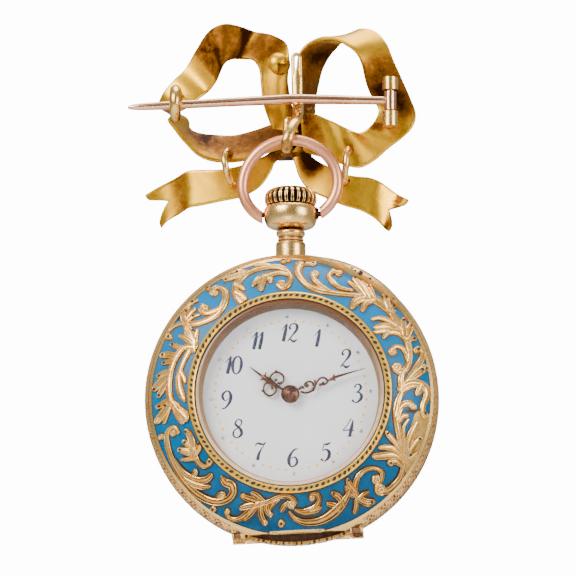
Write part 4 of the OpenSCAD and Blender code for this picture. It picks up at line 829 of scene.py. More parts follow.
# Dark outlines round the scrolls and along the enamel's edges, brown towards the top of the case as painted
# light
OUTLINE_AND_SHADE = plain("enamel_outline", (0.006, 0.006, 0.004), (0.02, 0.012, 0.002), 2500, 0.4,
                above=(0.16, 0.07, 0.01))
DIAL_WHITE = plain("dial_white", (0.80, 0.80, 0.83), (0.86, 0.85, 0.84), 500, 0.25, coat=0.4, speck=0.4)
INK = plain("numeral_blue", (0.003, 0.004, 0.02), (0.012, 0.018, 0.07), 3500, 0.45)
DOT_GOLD = plain("minute_dot_gold", (0.80, 0.50, 0.03), (0.90, 0.64, 0.10), 4000, 0.4)
# The hours' dots: white and dark blue in patches, standing in for a painted highlight and painted shade
PEARL = plain("hour_dot_silver", (0.80, 0.82, 0.90), (0.10, 0.13, 0.24), 5000, 0.25, speck=0.2)
# The crystal's edge: cream as a painted reflection, dark brown towards the top as painted shade
EDGE_REFLECTION = plain("crystal_edge_painted_reflection", (0.86, 0.64, 0.48), (0.66, 0.42, 0.26), 900, 0.3, coat=0.2,
                   above=(0.13, 0.045, 0.012))
BARE_GOLD = plain("bare_gold", (0.74, 0.46, 0.10), (0.30, 0.15, 0.02), 1500, 0.42, metallic=0.6, relief=0.03)
ENAMEL = enamel_material()
GLASS = glass_material()


# Brooch


def ribbon_normal(rows, s):
    """The direction out of a ribbon's face at s rows along."""
    last = len(rows) - 1
    row = row_at(rows, s)
    width = Vector(row[3:]) - Vector(row[:3])
    ahead = row_at(rows, min(s + 0.05, last))
    behind = row_at(rows, max(s - 0.05, 0))
    along = Vector(ahead[:3]) + Vector(ahead[3:]) - Vector(behind[:3]) - Vector(behind[3:])
    return width.cross(along).normalized()


def tarnish_and_reflection_at(name, s, u):
    """How much tarnish, painted reflection and painted shade a ribbon has at s rows along and a share u of
    its width.
    """
    darkening = 0
    for at, spread, across, wide, strength, lean in TARNISH_AND_REFLECTIONS[name]:
        along = (s - at - lean * (u - across)) / spread
        darkening += strength * math.exp(-along ** 4 - ((u - across) / wide) ** 2)
    return min(darkening, 1)


def ribbon(name, rows, notch):
    """A ribbon with rounded edges, not quite even, its end cut to a swallow tail by notch rows."""
    under = [(u, -1) for u in RIBBON_SHARES]
    over = [(u, 1) for u in reversed(RIBBON_SHARES)]
    length = len(rows) - 1
    rings, shades = [], []
    for i in range(length * RIBBON_STEPS + 1):
        ring = []
        for u, side in [(0, 0)] + under + [(1, 0)] + over:
            cut = notch * (1 - min(NOTCH_BLUNT * abs(2 * u - 1), 1))
            s = i / RIBBON_STEPS * (1 - cut / length)
            row = row_at(rows, s)
            near, far = Vector(row[:3]), Vector(row[3:])
            inset = min(min(u, 1 - u) * (far - near).length / RIBBON_EDGE_R, 1)
            thick = RIBBON_T / 2 * math.sqrt(1 - (1 - inset) ** 2)
            uneven = 0.004 * math.sin(3.1 * s + 5 * u) + 0.003 * math.sin(5.3 * s - 9 * u + len(name))
            ring.append(near.lerp(far, u) + ribbon_normal(rows, s) * (side * thick + uneven))
            # Tarnish, painted reflection bands and painted shade on the two faces, none on the edges
            shades.append(tarnish_and_reflection_at(name, s, u) if side else 0)
        rings.append(ring)
    shape = Shape()
    shape.skin(rings, ends="strip", shades=shades)
    make(shape, name, RIBBON_GOLD, "brooch", "ribbon_gold", "bow", sharp=60)


def wire_route(rows):
    """Points along a smooth curve through a table's rows."""
    return [Vector(row) for row in eased(rows, WIRE_STEPS)]


def build_bow():
    """The ribbons, the two brace wires with solder at their ends, and the boss between the loops."""
    for name, rows, notch in (("loop_left", LOOP_LEFT, 0), ("loop_right", LOOP_RIGHT, 0),
                              ("tail_left", TAIL_LEFT, NOTCH), ("tail_right", TAIL_RIGHT, NOTCH),
                              ("knot", KNOT, 0)):
        ribbon(name, rows, notch)
    for name, rows in (("brace_left", BRACE_LEFT), ("brace_right", BRACE_RIGHT)):
        shape = Shape()
        route = wire_route(rows)
        shape.tube(route, BRACE_WIRE_R, 16)
        make(shape, name, FINDING_GOLD, "brooch", "ribbon_gold", "bow")
        shape = Shape()
        for end in (route[0], route[-1]):
            shape.ball(end + Vector((0.05, -0.05, 0.1)), 0.5, squash=0.6)
            shape.ball(end + Vector((0.5, 0.1, 0.2)), 0.28, squash=0.6, shade=0.5)
        make(shape, name + "_solder", SOLDER, "brooch", "ribbon_gold", "bow")
    shape = Shape()
    shape.ball(BOSS, BOSS_R, rings=44, sides=72)
    # The flat side cut into the boss is painted a little darker, as shade
    for i, point in enumerate(shape.points):
        if point.x > BOSS.x and point.z < BOSS.z - 0.2 and point.y < BOSS_CUT_Y:
            shape.points[i] = Vector((point.x, BOSS_CUT_Y, point.z))
            shape.shades[i] = 0.3
    shape.tube(BOSS_STUB, BOSS_STUB_R, 24, shade=[0, 0, 0.5])
    make(shape, "boss", RIBBON_GOLD, "brooch", "ribbon_gold", "bow")


def build_hook():
    """A strap with a slot near its top, which runs down to the hook's bend and up to its tip."""
    route = wire_route(HOOK_ROUTE)
    last = len(route) - 1
    left, right, straps, shades = [], [], [], []
    for i, point in enumerate(route):
        along = (route[min(i + 1, last)] - route[max(i - 1, 0)]).normalized()
        side = (Vector((1, 0, 0)) - along * along.x).normalized()
        up = along.cross(side)
        if i < HOOK_SLOT_END:
            left.append(point - side * HOOK_HALF)
            right.append(point + side * HOOK_HALF)
        joined = i - HOOK_SLOT_END + 3
        if joined >= 0:
            small = min((joined + 1) / 3, 1) * (1, 0.85, 0.55)[max(i - last + 2, 0)]
            half = HOOK_HALF + HOOK_WIRE_R - 0.02 * min(joined / 30, 1)
            thick = HOOK_WIRE_R + (HOOK_BEND_R - HOOK_WIRE_R) * min(joined / 12, 1)
            straps.append([point + side * half * small * c + up * thick * small * s for c, s in circle(24)])
            # Darker low in the bend, where the ring hangs
            shades.extend([0.4 * math.exp(-((point.z + 4.7) / 0.5) ** 2)] * 24)
    bend = []
    for angle in (150, 120, 90, 60, 30):
        x, z = turned(HOOK_HALF, 0, angle)
        bend.append(route[0] + Vector((x, 0, z)))
    shape = Shape()
    shape.tube(left[::-1] + bend + right, HOOK_WIRE_R, 18)
    shape.skin(straps, ends="fan", shades=shades)
    make(shape, "hook_strap", FINDING_GOLD, "brooch", "finding_gold", "watch_hook")


def build_pin():
    """The pin's stem, thickest over the hook, with a blunt tip and the knuckle that it turns on."""
    stem = eased([(x, 0, z, r) for x, z, r in PIN_STEM], 4)
    shape = Shape()
    shape.tube([row[:3] for row in stem], [row[3] for row in stem], 24)
    shape.lathe(PIN_KNUCKLE, lambda x, y, h: Vector((BARREL_X + x, y, h)), 48)
    make(shape, "pin_stem_worn", PIN_GOLD, "pin", "pin_gold", "pin_stem")


def build_ring():
    """The rose gold ring: one bent wire with flat ends, and the pegs that it turns on."""
    path = []
    for off, at, start, end in RING_BENDS:
        middle = Vector(turned(off, 0, at))
        for i in range(60):
            x, y = turned(RING_R - off, 0, start + (end - start) * (i + 0.5) / 60)
            path.append(on_pendant(middle.x + x, 0, RING_Z + middle.y + y))
    shape = Shape()
    shape.tube(path, RING_WIRE_R, 32)
    low = RING_Z - RING_R * 0.45
    for face_x, face_z, angle in RING_ENDS:
        out_x, out_z = turned(1, 0, angle)
        out = Vector((out_x, 0, out_z))
        face = on_pendant(face_x, 0, RING_Z + face_z)
        for i, point in enumerate(shape.points):
            beyond = (point - face).dot(out)
            if beyond < 0 and point.z < low and point.x * face_x > 0:
                shape.points[i] = point - out * beyond
                shape.shades[i] = 0.7
    make(shape, "rose_gold_ring", ROSE_GOLD, "ring", "rose_gold", "bow_ring", sharp=30)
    shape = Shape()
    for side in (-1, 1):
        shape.tube([on_pendant(side * x, 0, PIVOT_Z) for x in PEG_STOPS], PEG_R, 20, shade=0.9)
    make(shape, "ring_pivots", ROSE_GOLD, "ring", "rose_gold", "bow_ring")


# Pendant


def build_pendant():
    """The neck with its bead and round collar, and the threaded stud on the collar's right."""
    def seams(_angle, _r, h):
        dark = sum(0.9 * math.exp(-((h - at) / wide) ** 2) for at, wide in NECK_SEAMS)
        return 0.0, min(dark, 1)

    shape = Shape()
    shape.lathe(eased(NECK, 3), on_pendant, 120, wrap=False, warp=seams)
    make(shape, "neck_and_collar", PENDANT_GOLD, "case", "pendant_gold", "pendant_neck", sharp=50)
    shape = Shape()
    shape.tube([on_pendant(x, 0, PIVOT_Z) for x, r in THREADS], [r for x, r in THREADS], 24,
               shade=[0.95 if i % 2 else 0.6 for i in range(len(THREADS))])
    for x, y, z, r in STUD_SPECKS:
        shape.ball(on_pendant(x, y, z), r, shade=1.0)
    make(shape, "collar_screw", PENDANT_GOLD, "case", "pendant_gold", "pendant_neck", sharp=35)


def build_crown():
    """The winding crown: ribs that run over its rounded shoulder, each split in two at its foot."""
    def ribs(angle, r, h):
        across = abs((angle * CROWN_RIBS / (2 * math.pi)) % 1 - 0.5) * 2
        gap = 1 - clamped((across - 0.34) / 0.2)
        split = clamped((across - 0.82) / 0.1) * clamped((-10.0 - h) / 0.5)
        reach = clamped((r - 0.8) / 0.4) * clamped((h + 11.06) / 0.1)
        # Painted shade: the gaps between the ribs and the split at their foot are darkened
        return -(gap * 0.34 + split * 0.14) * reach, min(1, gap * 1.1 + split * 0.9) * reach

    shape = Shape()
    shape.lathe(eased(CROWN, 3), on_pendant, CROWN_RIBS * 18, wrap=False, warp=ribs)
    make(shape, "fluted_crown", PENDANT_GOLD, "winder", "pendant_gold", "crown", sharp=70)


# Case


def dome_h(r):
    """The height of the enamel at a distance from the case's axis."""
    return DOME_CURVE_AT[1] + math.sqrt(DOME_CURVE_R ** 2 - (r - DOME_CURVE_AT[0]) ** 2)


def kept_clear(x, y, turn, gap):
    """A point on the cover, kept off its inner and outer edges, the hinge's chord and the lip's cone."""
    r = math.hypot(x, y)
    inside = clamped(r, ENAMEL_IN_R + gap, ENAMEL_OUT_R - gap) / r
    x, y = turned(x * inside, y * inside, turn - DIAL_TURN)
    y = max(y, ENAMEL_CUT_Y + gap)
    x, y = turned(x, y, -LIP_AT)
    room = LIP_CONE_R + LIP_CONE_SLOPE * dome_h(math.hypot(x, y)) - 0.03 - gap
    share = min(room / math.hypot(x - LIP_CONE_X, y), 1)
    return turned(LIP_CONE_X + (x - LIP_CONE_X) * share, y * share, LIP_AT)


def on_dome(x, y, lift, turn=0.0, gap=0.06):
    """A point lifted off the enamel, gap away from what the enamel ends at."""
    x, y = kept_clear(x, y, turn, gap)
    r = math.hypot(x, y)
    slope = (r - DOME_CURVE_AT[0]) / math.sqrt(DOME_CURVE_R ** 2 - (r - DOME_CURVE_AT[0]) ** 2)
    out_x, out_y = slope * x / r, slope * y / r
    long = math.sqrt(slope ** 2 + 1)
    return in_case(x + lift * out_x / long, y + lift * out_y / long, dome_h(r) + lift / long)


def drawn(p):
    """A point of the drawing on the case: the drawing's outer parts lie lower on the dome."""
    x = (p[0] - DRAWING_MID[0]) * DRAWING_UNIT[0]
    y = (DRAWING_MID[1] - p[1]) * DRAWING_UNIT[1]
    out = math.hypot(x, y) - DRAWING_R
    return x + DRAWING_SHIFT[0] * out, y + DRAWING_SHIFT[1] * out


def stroke_stations(rows):
    """Middle, sideways direction and half width along a stroke, with its two ends rounded off."""
    flat = [(Vector(drawn(row)), row[2] * DRAWING_UNIT[0] * STROKE_HALF) for row in eased(rows, 5)]
    last = len(flat) - 1
    rounding = {0: (-80, -50, -25, 0), last: (0, 25, 50, 80)}
    stations = []
    for i, (point, half) in enumerate(flat):
        along = (flat[min(i + 1, last)][0] - flat[max(i - 1, 0)][0]).normalized()
        side = Vector((-along.y, along.x))
        for angle in rounding.get(i, (0,)):
            c, s = turned(1, 0, angle)
            stations.append((point + along * half * s, side, half * c))
    return stations


def chase_stroke(scrolls, shaded_outlines, rows, rise):
    """A stroke of the scrolls, and the dark outline along its sides, wider low on the case as painted shade;
    the stroke is painted darker there too.
    """
    rings, shades, flat = [], [], []
    for middle, side, half in stroke_stations(rows):
        # Painted shade: the lower on the case, the darker the stroke's middle and edges and the wider its
        # outline
        low = clamped((-5 - middle.y) / 6)
        ring = []
        for v, depth, darkening in SCROLL_SECTION:
            sunk = depth * clamped(half / 0.3 - 0.2)
            high = rise * max(1 - abs(v) ** 6, 0) ** 0.5 * min(half / 0.2, 1) ** 0.4 - sunk
            at = middle + side * v * half
            ring.append(on_dome(at.x, at.y, 0.012 + max(high, 0)))
            inner = 0.2 * low if abs(v) < 0.55 else 0
            shades.append(min(darkening * (0.8 + 1.6 * low) + inner, 1))
        rings.append(ring)
        band = []
        for v, lift in ((-1, 0.012), (0, 0.02), (1, 0.012)):
            at = middle + side * v * (half + 0.085 + 0.09 * low)
            band.append(on_dome(at.x, at.y, lift, gap=0.0))
        flat.append(band)
    scrolls.skin(rings, wrap=False, shades=shades)
    shaded_outlines.skin(flat, wrap=False)


def chase_knob(scrolls, shaded_outlines, x, y, radius):
    """A curl's round end with a spiral groove in it, its groove and edge darkened as painted shade, and the
    dark outline round it.
    """
    at_x, at_y = drawn((x, y))
    size = radius * DRAWING_UNIT[0] * 0.9
    rings, shades, rim = [], [], []
    for i, (c, s) in enumerate(circle(28)):
        ring = []
        for k in KNOB_SHARES:
            groove = math.exp(-(((k * 1.9 - i / 28) % 1 - 0.5) / 0.2) ** 2)
            groove *= min((1 - k) / 0.1, k / 0.16, 1)
            high = 0.27 * (1 - k ** 8) ** 0.5 - 0.12 * groove
            ring.append(on_dome(at_x + size * k * c, at_y + size * k * s, max(high, 0.01)))
            shades.append(min(0.45 * groove + 0.5 * (k == 1), 1))
        rings.append(ring)
        outer = size + 0.08
        rim.append([on_dome(at_x + outer * k * c, at_y + outer * k * s, lift)
                    for k, lift in ((1, 0.014), (0.02, 0.022))])
    scrolls.skin(rings, wrap=False, closed=True, shades=shades)
    shaded_outlines.skin(rim, wrap=False, closed=True)


def build_scrolls():
    """Chased scrolls: raised edges along both sides, an engraved line inside each, and a low middle."""
    scrolls = Shape()
    shaded_outlines = Shape()
    for number, rows in enumerate(SCROLLS):
        chase_stroke(scrolls, shaded_outlines, rows, 0.22 + 0.012 * (number % 4))
    for x, y, radius in KNOBS:
        chase_knob(scrolls, shaded_outlines, x, y, radius)
    make(scrolls, "chased_scrolls", SCROLL_GOLD, "cover", "scroll_gold", "scrollwork", sharp=50)
    make(shaded_outlines, "scroll_outlines", OUTLINE_AND_SHADE, "cover", "enamel_blue", outward=False)
    dots = Shape()
    for place in DRILLED:
        x, y = drawn(place)
        dots.skin([[on_dome(x + r * c, y + r * s, lift) for r, lift in DRILLED_DOT] for c, s in circle(10)],
                  wrap=False, closed=True)
    make(dots, "drilled_dots", BLACK, "cover", "scroll_gold")


def build_enamel():
    """The enamelled dome, with thin dark lines where it meets the gold."""
    count = 28
    radii = [ENAMEL_IN_R + (ENAMEL_OUT_R - ENAMEL_IN_R) * i / count for i in range(count + 1)]
    spread = [(r, 0) for r in radii] + [(r, 0.04 - ENAMEL_T) for r in (radii[-1], radii[0])]
    shape = Shape()
    shape.skin([[on_dome(r * c, r * s, lift, DIAL_TURN, 0.0) for r, lift in spread] for c, s in circle(360)],
               closed=True)
    make(shape, "enamel_dome", ENAMEL, "cover", "enamel_blue", "enamel_ring", sharp=50)
    shape = Shape()
    half = 0.03
    for middle in (ENAMEL_IN_R + half, ENAMEL_OUT_R - half):
        edges = (middle - half, middle + half)
        shape.skin([[on_dome(r * c, r * s, 0.012, DIAL_TURN, 0.0) for r in edges] for c, s in circle(360)],
                   wrap=False, closed=True)
    make(shape, "enamel_edge_lines", OUTLINE_AND_SHADE, "cover", "enamel_blue", outward=False)


def build_losses():
    """Bare gold where enamel is lost, and two dark places at its outer edge."""
    for name, rows, material, lift in (("bare_gold_patch", BARE_PATCH, BARE_GOLD, 0.03),
                                       ("dark_edge_right", DARK_RIGHT, DIRT_AND_SHADE, 0.025),
                                       ("dark_edge_left", DARK_LEFT, BLACK, 0.025)):
        shape = Shape()
        shape.skin([[on_dome(*(middle + side * v * half), lift, gap=0.02) for v in (-1, -0.5, 0, 0.5, 1)]
                    for middle, side, half in stroke_stations(rows)], wrap=False)
        make(shape, name, material, "cover", "enamel_blue", outward=False)


def cover_ring(name, profile, material, outward=False):
    """A ring on the cover, round the case's axis."""
    shape = Shape()
    shape.lathe(profile, in_case, 360, wrap=False)
    make(shape, name, material, "cover", "case_gold", outward=outward)


def build_bezel_rings():
    """The ring of black dots round the crystal, with the painted shadow line, the crystal's edge in a painted
    reflection, and the wall inside it in painted shade.
    """
    cover_ring("dotted_ring", DOTTED_RING, DOTTED_GOLD, outward=True)
    dots = Shape()
    for i in range(RING_DOTS):
        angle = 2 * math.pi * i / RING_DOTS + random.uniform(-0.006, 0.006)
        size = random.uniform(0.8, 1.15)
        c, s = math.cos(angle), math.sin(angle)
        rings = []
        for dot_c, dot_s in circle(10):
            a, b = RING_DOT_HALVES[0] * size * dot_c, RING_DOT_HALVES[1] * size * dot_s
            out, off = turned(a, b, RING_DOT_LEAN)
            ring = []
            for share, h in RING_DOT_PROFILE:
                r = RING_DOTS_R + share * out
                ring.append(in_case(r * c - share * off * s, r * s + share * off * c, h))
            rings.append(ring)
        dots.skin(rings, wrap=False, closed=True)
    make(dots, "ring_dots", BLACK, "cover", "case_gold")
    cover_ring("ring_shadow_line", SHADOW_LINE, BLACK)
    cover_ring("crystal_edge", CRYSTAL_EDGE, EDGE_REFLECTION)
    cover_ring("inner_wall", WALL, INNER_WALL_SHADE)


def rim_cuts(angle, _r, h):
    """How deep and dark the engraved rim's fine strokes are: deepest at the case's bottom."""
    wave = math.sin(angle * 148 + 9 * h) + math.sin(angle * 211 - 12 * h) + 0.6 * math.sin(angle * 57 + 4)
    deep = clamped((wave - 0.35) / 0.8) * clamped(0.3 - 0.7 * math.sin(angle), 0.15)
    return -0.045 * deep, 0.9 * deep


def build_engraved_rim():
    """Fine leaf-like cuts round the case's band and the cover's rim, which end beside the hinge."""
    for name, body, (start, turn), steps, profile in ENGRAVED:
        shape = Shape()
        shape.lathe(profile, in_case, steps, wrap=False, warp=rim_cuts, start=start, turn=turn)
        make(shape, name, RIM_GOLD, body, "case_gold", outward=False)
    for name, body, (low_r, low_h), (top_r, top_h) in LEAF_CUTS:
        shape = Shape()
        for i in range(LEAVES):
            angle = 2 * math.pi * (i + random.uniform(-0.25, 0.25)) / LEAVES
            place = random.uniform(0.25, 0.75)
            lean = random.choice((-0.6, 0.5, 0.9))
            long = random.uniform(0.7, 1.25)
            often = 0.4 - 0.9 * math.sin(angle)
            at_hinge = abs(math.degrees(angle) - 270) < RIM_BESIDE + 0.6
            if random.random() > often or body == "cover" and at_hinge:
                continue
            ring = []
            for u, v in circle(8):
                share = place + 0.3 * long * u
                if at_hinge:
                    share *= 0.5
                turn = angle + (0.17 * long * lean * u + 0.085 * long * v) / CASE_R
                r = low_r + (top_r - low_r) * share + 0.012
                h = low_h + (top_h - low_h) * share + 0.006
                ring.append(in_case(r * math.cos(turn), r * math.sin(turn), h))
            middle = sum(ring, Vector()) / 8
            shape.skin([ring, [middle + (point - middle) * 0.1 for point in ring]])
        make(shape, name, BLACK, body, "case_gold", outward=False)


def lip_h(x, y):
    """The height of the thumb lip's outer face over a point, in the lip's own direction."""
    r = math.hypot(x - LIP_OFF, y) + LIP_OFF
    for (r1, h1), (r2, h2) in zip(LIP_FACE, LIP_FACE[1:]):
        if r > r2:
            return h1 + (h2 - h1) * (r1 - r) / (r1 - r2)
    return LIP_FACE[-1][1]


def cone_meets(surface, angle):
    """The height at which the cone inside the lip meets a surface, at an angle round the cone."""
    low, high = 0.5, 3.2
    for _ in range(30):
        h = (low + high) / 2
        r = LIP_CONE_R + LIP_CONE_SLOPE * h
        if surface(LIP_CONE_X + r * math.cos(angle), r * math.sin(angle)) > h:
            low = h
        else:
            high = h
    return low


def build_lip():
    """The orange slope inside the thumb lip, and the black pits on its outer face."""
    rings = []
    for i in range(81):
        angle = math.radians(-17 + 34 * i / 80)
        low = cone_meets(lambda x, y: dome_h(math.hypot(x, y)), angle)
        high = cone_meets(lip_h, angle)
        if high - low < 0.05:
            continue
        ring = []
        for k in range(5):
            h = low - 0.05 + (high - low + 0.05) * k / 4
            r = LIP_CONE_R + LIP_CONE_SLOPE * h - 0.012
            x, y = turned(LIP_CONE_X + r * math.cos(angle), r * math.sin(angle), LIP_AT)
            ring.append(in_case(x, y, h))
        rings.append(ring)
    shape = Shape()
    shape.skin(rings, wrap=False)
    make(shape, "lip_slope", LIP_SHADE, "cover", "case_gold", outward=False)
    pits = Shape()
    for x, y, r in LIP_PITS:
        local = turned(x, y, -DIAL_TURN - LIP_AT)
        pits.ball(in_case(x, y, lip_h(*local) + 0.01, 0), r, squash=0.35)
    make(pits, "lip_pits", BLACK, "cover", "case_gold")


def build_hinge():
    """Brown dirt and painted shade in the recess under the hinge, and the copper lumps at its two ends."""
    rings = []
    for i in range(61):
        x = RECESS_HALF * (i / 30 - 1)
        far = -math.sqrt(RECESS_FAR_R ** 2 - x * x)
        ring = []
        for k in range(7):
            h = -0.07 + 0.03 * math.sin(5 * x + 2 * k) * math.sin(k)
            ring.append(in_case(x, RECESS_NEAR_Y + (far - RECESS_NEAR_Y) * k / 6, h))
        rings.append(ring)
    shape = Shape()
    shape.skin(rings, wrap=False)
    make(shape, "recess_dirt_and_shade", DIRT_AND_SHADE, "case", "case_gold", outward=False)
    shape = Shape()
    for side, length in LUMPS:
        stops = [(0, 0.2), (0.07, 0.38), (0.2, 0.5), (0.45, 0.55), (0.8, 0.55), (length - 0.15, 0.48),
                 (length, 0.33)]
        shape.tube([in_case(side * (HINGE_HALF - x), HINGE_Y, HINGE_H) for x, r in stops],
                   [r for x, r in stops], 24, shade=[0.6, 0.3, 0, 0, 0, 0.4, 0.9])
    shape.ball(in_case(*LOW_LUMP), LOW_LUMP_R, squash=0.5, shade=0.3)
    make(shape, "hinge_end_lumps", HINGE_COPPER, "case", "case_gold")


# Dial and hands


DIGITS = {
    "1": [[(0.02, 0.62, 0.03), (0.14, 0.78, 0.05), (0.28, 0.98, 0.07)],
          [(0.28, 0.98, 0.1), (0.24, 0.5, 0.17), (0.18, 0.02, 0.16)]],
    "2": [[(0.14, 0.68, 0.13), (0.07, 0.8, 0.09), (0.14, 0.95, 0.06), (0.3, 1.0, 0.07), (0.45, 0.86, 0.14),
           (0.42, 0.62, 0.13), (0.24, 0.34, 0.07), (0.04, 0.04, 0.06)],
          [(0.04, 0.04, 0.05), (0.16, 0.14, 0.07), (0.34, 0.02, 0.12), (0.52, 0.14, 0.04)]],
    "3": [[(0.1, 0.8, 0.11), (0.16, 0.95, 0.06), (0.32, 0.98, 0.08), (0.42, 0.82, 0.13), (0.34, 0.62, 0.08),
           (0.2, 0.55, 0.04)],
          [(0.2, 0.55, 0.04), (0.4, 0.5, 0.09), (0.5, 0.28, 0.16), (0.36, 0.04, 0.1), (0.16, 0.0, 0.06),
           (0.05, 0.14, 0.12)]],
    "4": [[(0.36, 0.98, 0.05), (0.2, 0.66, 0.05), (0.0, 0.34, 0.05)],
          [(0.0, 0.32, 0.05), (0.28, 0.36, 0.07), (0.56, 0.32, 0.05)],
          [(0.46, 0.9, 0.05), (0.42, 0.5, 0.16), (0.36, 0.0, 0.14)],
          [(0.24, 0.0, 0.04), (0.48, 0.02, 0.05)]],
    "5": [[(0.16, 0.94, 0.06), (0.13, 0.75, 0.05), (0.1, 0.55, 0.04)],
          [(0.16, 0.92, 0.05), (0.3, 0.9, 0.11), (0.48, 1.0, 0.05)],
          [(0.1, 0.55, 0.04), (0.28, 0.62, 0.08), (0.45, 0.46, 0.16), (0.44, 0.18, 0.15), (0.26, 0.0, 0.07),
           (0.06, 0.1, 0.12)]],
    "6": [[(0.46, 0.96, 0.05), (0.28, 0.92, 0.08), (0.1, 0.64, 0.13), (0.05, 0.34, 0.17), (0.14, 0.06, 0.1),
           (0.3, 0.0, 0.07), (0.46, 0.16, 0.12), (0.46, 0.36, 0.12), (0.32, 0.52, 0.06), (0.14, 0.42, 0.04)]],
    "7": [[(0.02, 0.78, 0.05), (0.1, 0.94, 0.08), (0.26, 0.9, 0.12), (0.4, 0.88, 0.07), (0.54, 1.0, 0.04)],
          [(0.54, 1.0, 0.04), (0.36, 0.66, 0.06), (0.24, 0.36, 0.13), (0.2, 0.02, 0.17)]],
    "8": [[(0.3, 0.56, 0.12), (0.14, 0.7, 0.12), (0.12, 0.86, 0.08), (0.25, 0.99, 0.05), (0.4, 0.92, 0.08),
           (0.42, 0.76, 0.06), (0.28, 0.54, 0.06), (0.1, 0.4, 0.06), (0.05, 0.2, 0.09), (0.14, 0.03, 0.07),
           (0.3, 0.0, 0.07), (0.46, 0.16, 0.14), (0.44, 0.38, 0.15), (0.28, 0.58, 0.12)]],
    "9": [[(0.06, 0.04, 0.05), (0.24, 0.08, 0.08), (0.42, 0.36, 0.13), (0.47, 0.66, 0.17), (0.38, 0.94, 0.1),
           (0.22, 1.0, 0.07), (0.06, 0.84, 0.12), (0.06, 0.64, 0.12), (0.2, 0.48, 0.06), (0.38, 0.58, 0.04)]],
    "0": [[(0.26, 0.99, 0.06), (0.1, 0.84, 0.11), (0.04, 0.5, 0.16), (0.1, 0.16, 0.11), (0.26, 0.01, 0.06),
           (0.42, 0.16, 0.11), (0.48, 0.5, 0.16), (0.42, 0.84, 0.11), (0.26, 0.99, 0.06)]]
}
# Hours on the dial: the numeral, and the place of its middle in the drawing
HOURS = [
    ("12", 289.0, 332.5), ("1", 318.5, 338), ("2", 345, 358.6), ("3", 356.5, 393), ("4", 347.8, 426.8),
    ("5", 325, 450.6), ("6", 293, 456), ("7", 259.6, 449.6), ("8", 238, 426.8), ("9", 226.6, 398.8),
    ("10", 233.5, 364), ("11", 258.8, 340)
]
DIAL_MID = (290.8, 394.5)
HUB_MID = (291.2, 392.9)
# The numerals: height, slant, the steps between digits, and the drawn digits' width, as shares of the height
NUMERAL_H = 1.9
NUMERAL_SLANT = 0.1
DIGIT_STEP = 0.78
DIGIT_STEP_11 = 0.62
DIGIT_WIDE = 1.12
# Across a painted stroke: share of its half width, and of its thickness
PAINT_SECTION = [(-1, 0), (-0.7, 0.8), (0, 1), (0.7, 0.8), (1, 0)]
PAINT_T = 0.02
# The circles that the minutes' dots, the hours' dots and the small dots inside those lie on, and dots' radii
MINUTE_DOTS_R = 7.72
HOUR_DOTS_R = 8.12
SMALL_DOTS_R = 7.7
MINUTE_DOT_R = 0.135
HOUR_DOT_R = 0.19
SMALL_DOT_R = 0.09


def flat_place(p, middle):
    """A point of the drawing on a flat face round a middle."""
    return Vector(((p[0] - middle[0]) * DRAWING_UNIT[0], (middle[1] - p[1]) * DRAWING_UNIT[1]))


def painted(shape, rows):
    """A brush stroke on the dial, through rows of x, y and width in millimetres."""
    points = eased(rows, 6)
    last = len(points) - 1
    rings = []
    for i, (x, y, wide) in enumerate(points):
        ahead, behind = points[min(i + 1, last)], points[max(i - 1, 0)]
        along = Vector((ahead[0] - behind[0], ahead[1] - behind[1])).normalized()
        ring = []
        for v, share in PAINT_SECTION:
            height = DIAL_TOP + 0.002 + PAINT_T * share
            ring.append(in_case(x - along.y * v * wide / 2, y + along.x * v * wide / 2, height, 0))
        rings.append(ring)
    shape.skin(rings, wrap=False)


def build_dial():
    """The painted numerals, the minutes' gold dots, and the hours' silver dots with a small one inside."""
    ink = Shape()
    for numeral, px, py in HOURS:
        middle = flat_place((px, py), DIAL_MID)
        step = (DIGIT_STEP_11 if numeral == "11" else DIGIT_STEP) * NUMERAL_H * 0.5
        start = -(0.55 * NUMERAL_H + step * (len(numeral) - 1)) / 2 - 0.05
        for place, digit in enumerate(numeral):
            left = middle.x + start + place * step
            for rows in DIGITS[digit]:
                scaled = []
                for x, y, wide in rows:
                    across = (x * DIGIT_WIDE + NUMERAL_SLANT * y) * NUMERAL_H * 0.95
                    up = (y - 0.5) * NUMERAL_H
                    scaled.append((left + across, middle.y + up, wide * NUMERAL_H * DIGIT_WIDE))
                painted(ink, scaled)
    make(ink, "numerals", INK, "case", "dial_enamel", outward=False)
    gold, pearls = Shape(), Shape()
    for i in range(60):
        x, y = turned(1, 0, 90 - 6 * i)
        if i % 5:
            at = in_case(MINUTE_DOTS_R * x, MINUTE_DOTS_R * y, DIAL_TOP + 0.01)
            gold.ball(at, MINUTE_DOT_R * random.uniform(0.8, 1.15), 5, 10, squash=0.35)
        else:
            at = in_case(HOUR_DOTS_R * x, HOUR_DOTS_R * y, DIAL_TOP + 0.02)
            pearls.ball(at, HOUR_DOT_R, 7, 12, squash=0.5)
            at = in_case(SMALL_DOTS_R * x, SMALL_DOTS_R * y, DIAL_TOP + 0.01)
            gold.ball(at, SMALL_DOT_R, 5, 10, squash=0.4)
    make(gold, "minute_dots", DOT_GOLD, "case", "dial_enamel")
    make(pearls, "hour_dots", PEARL, "case", "dial_enamel")


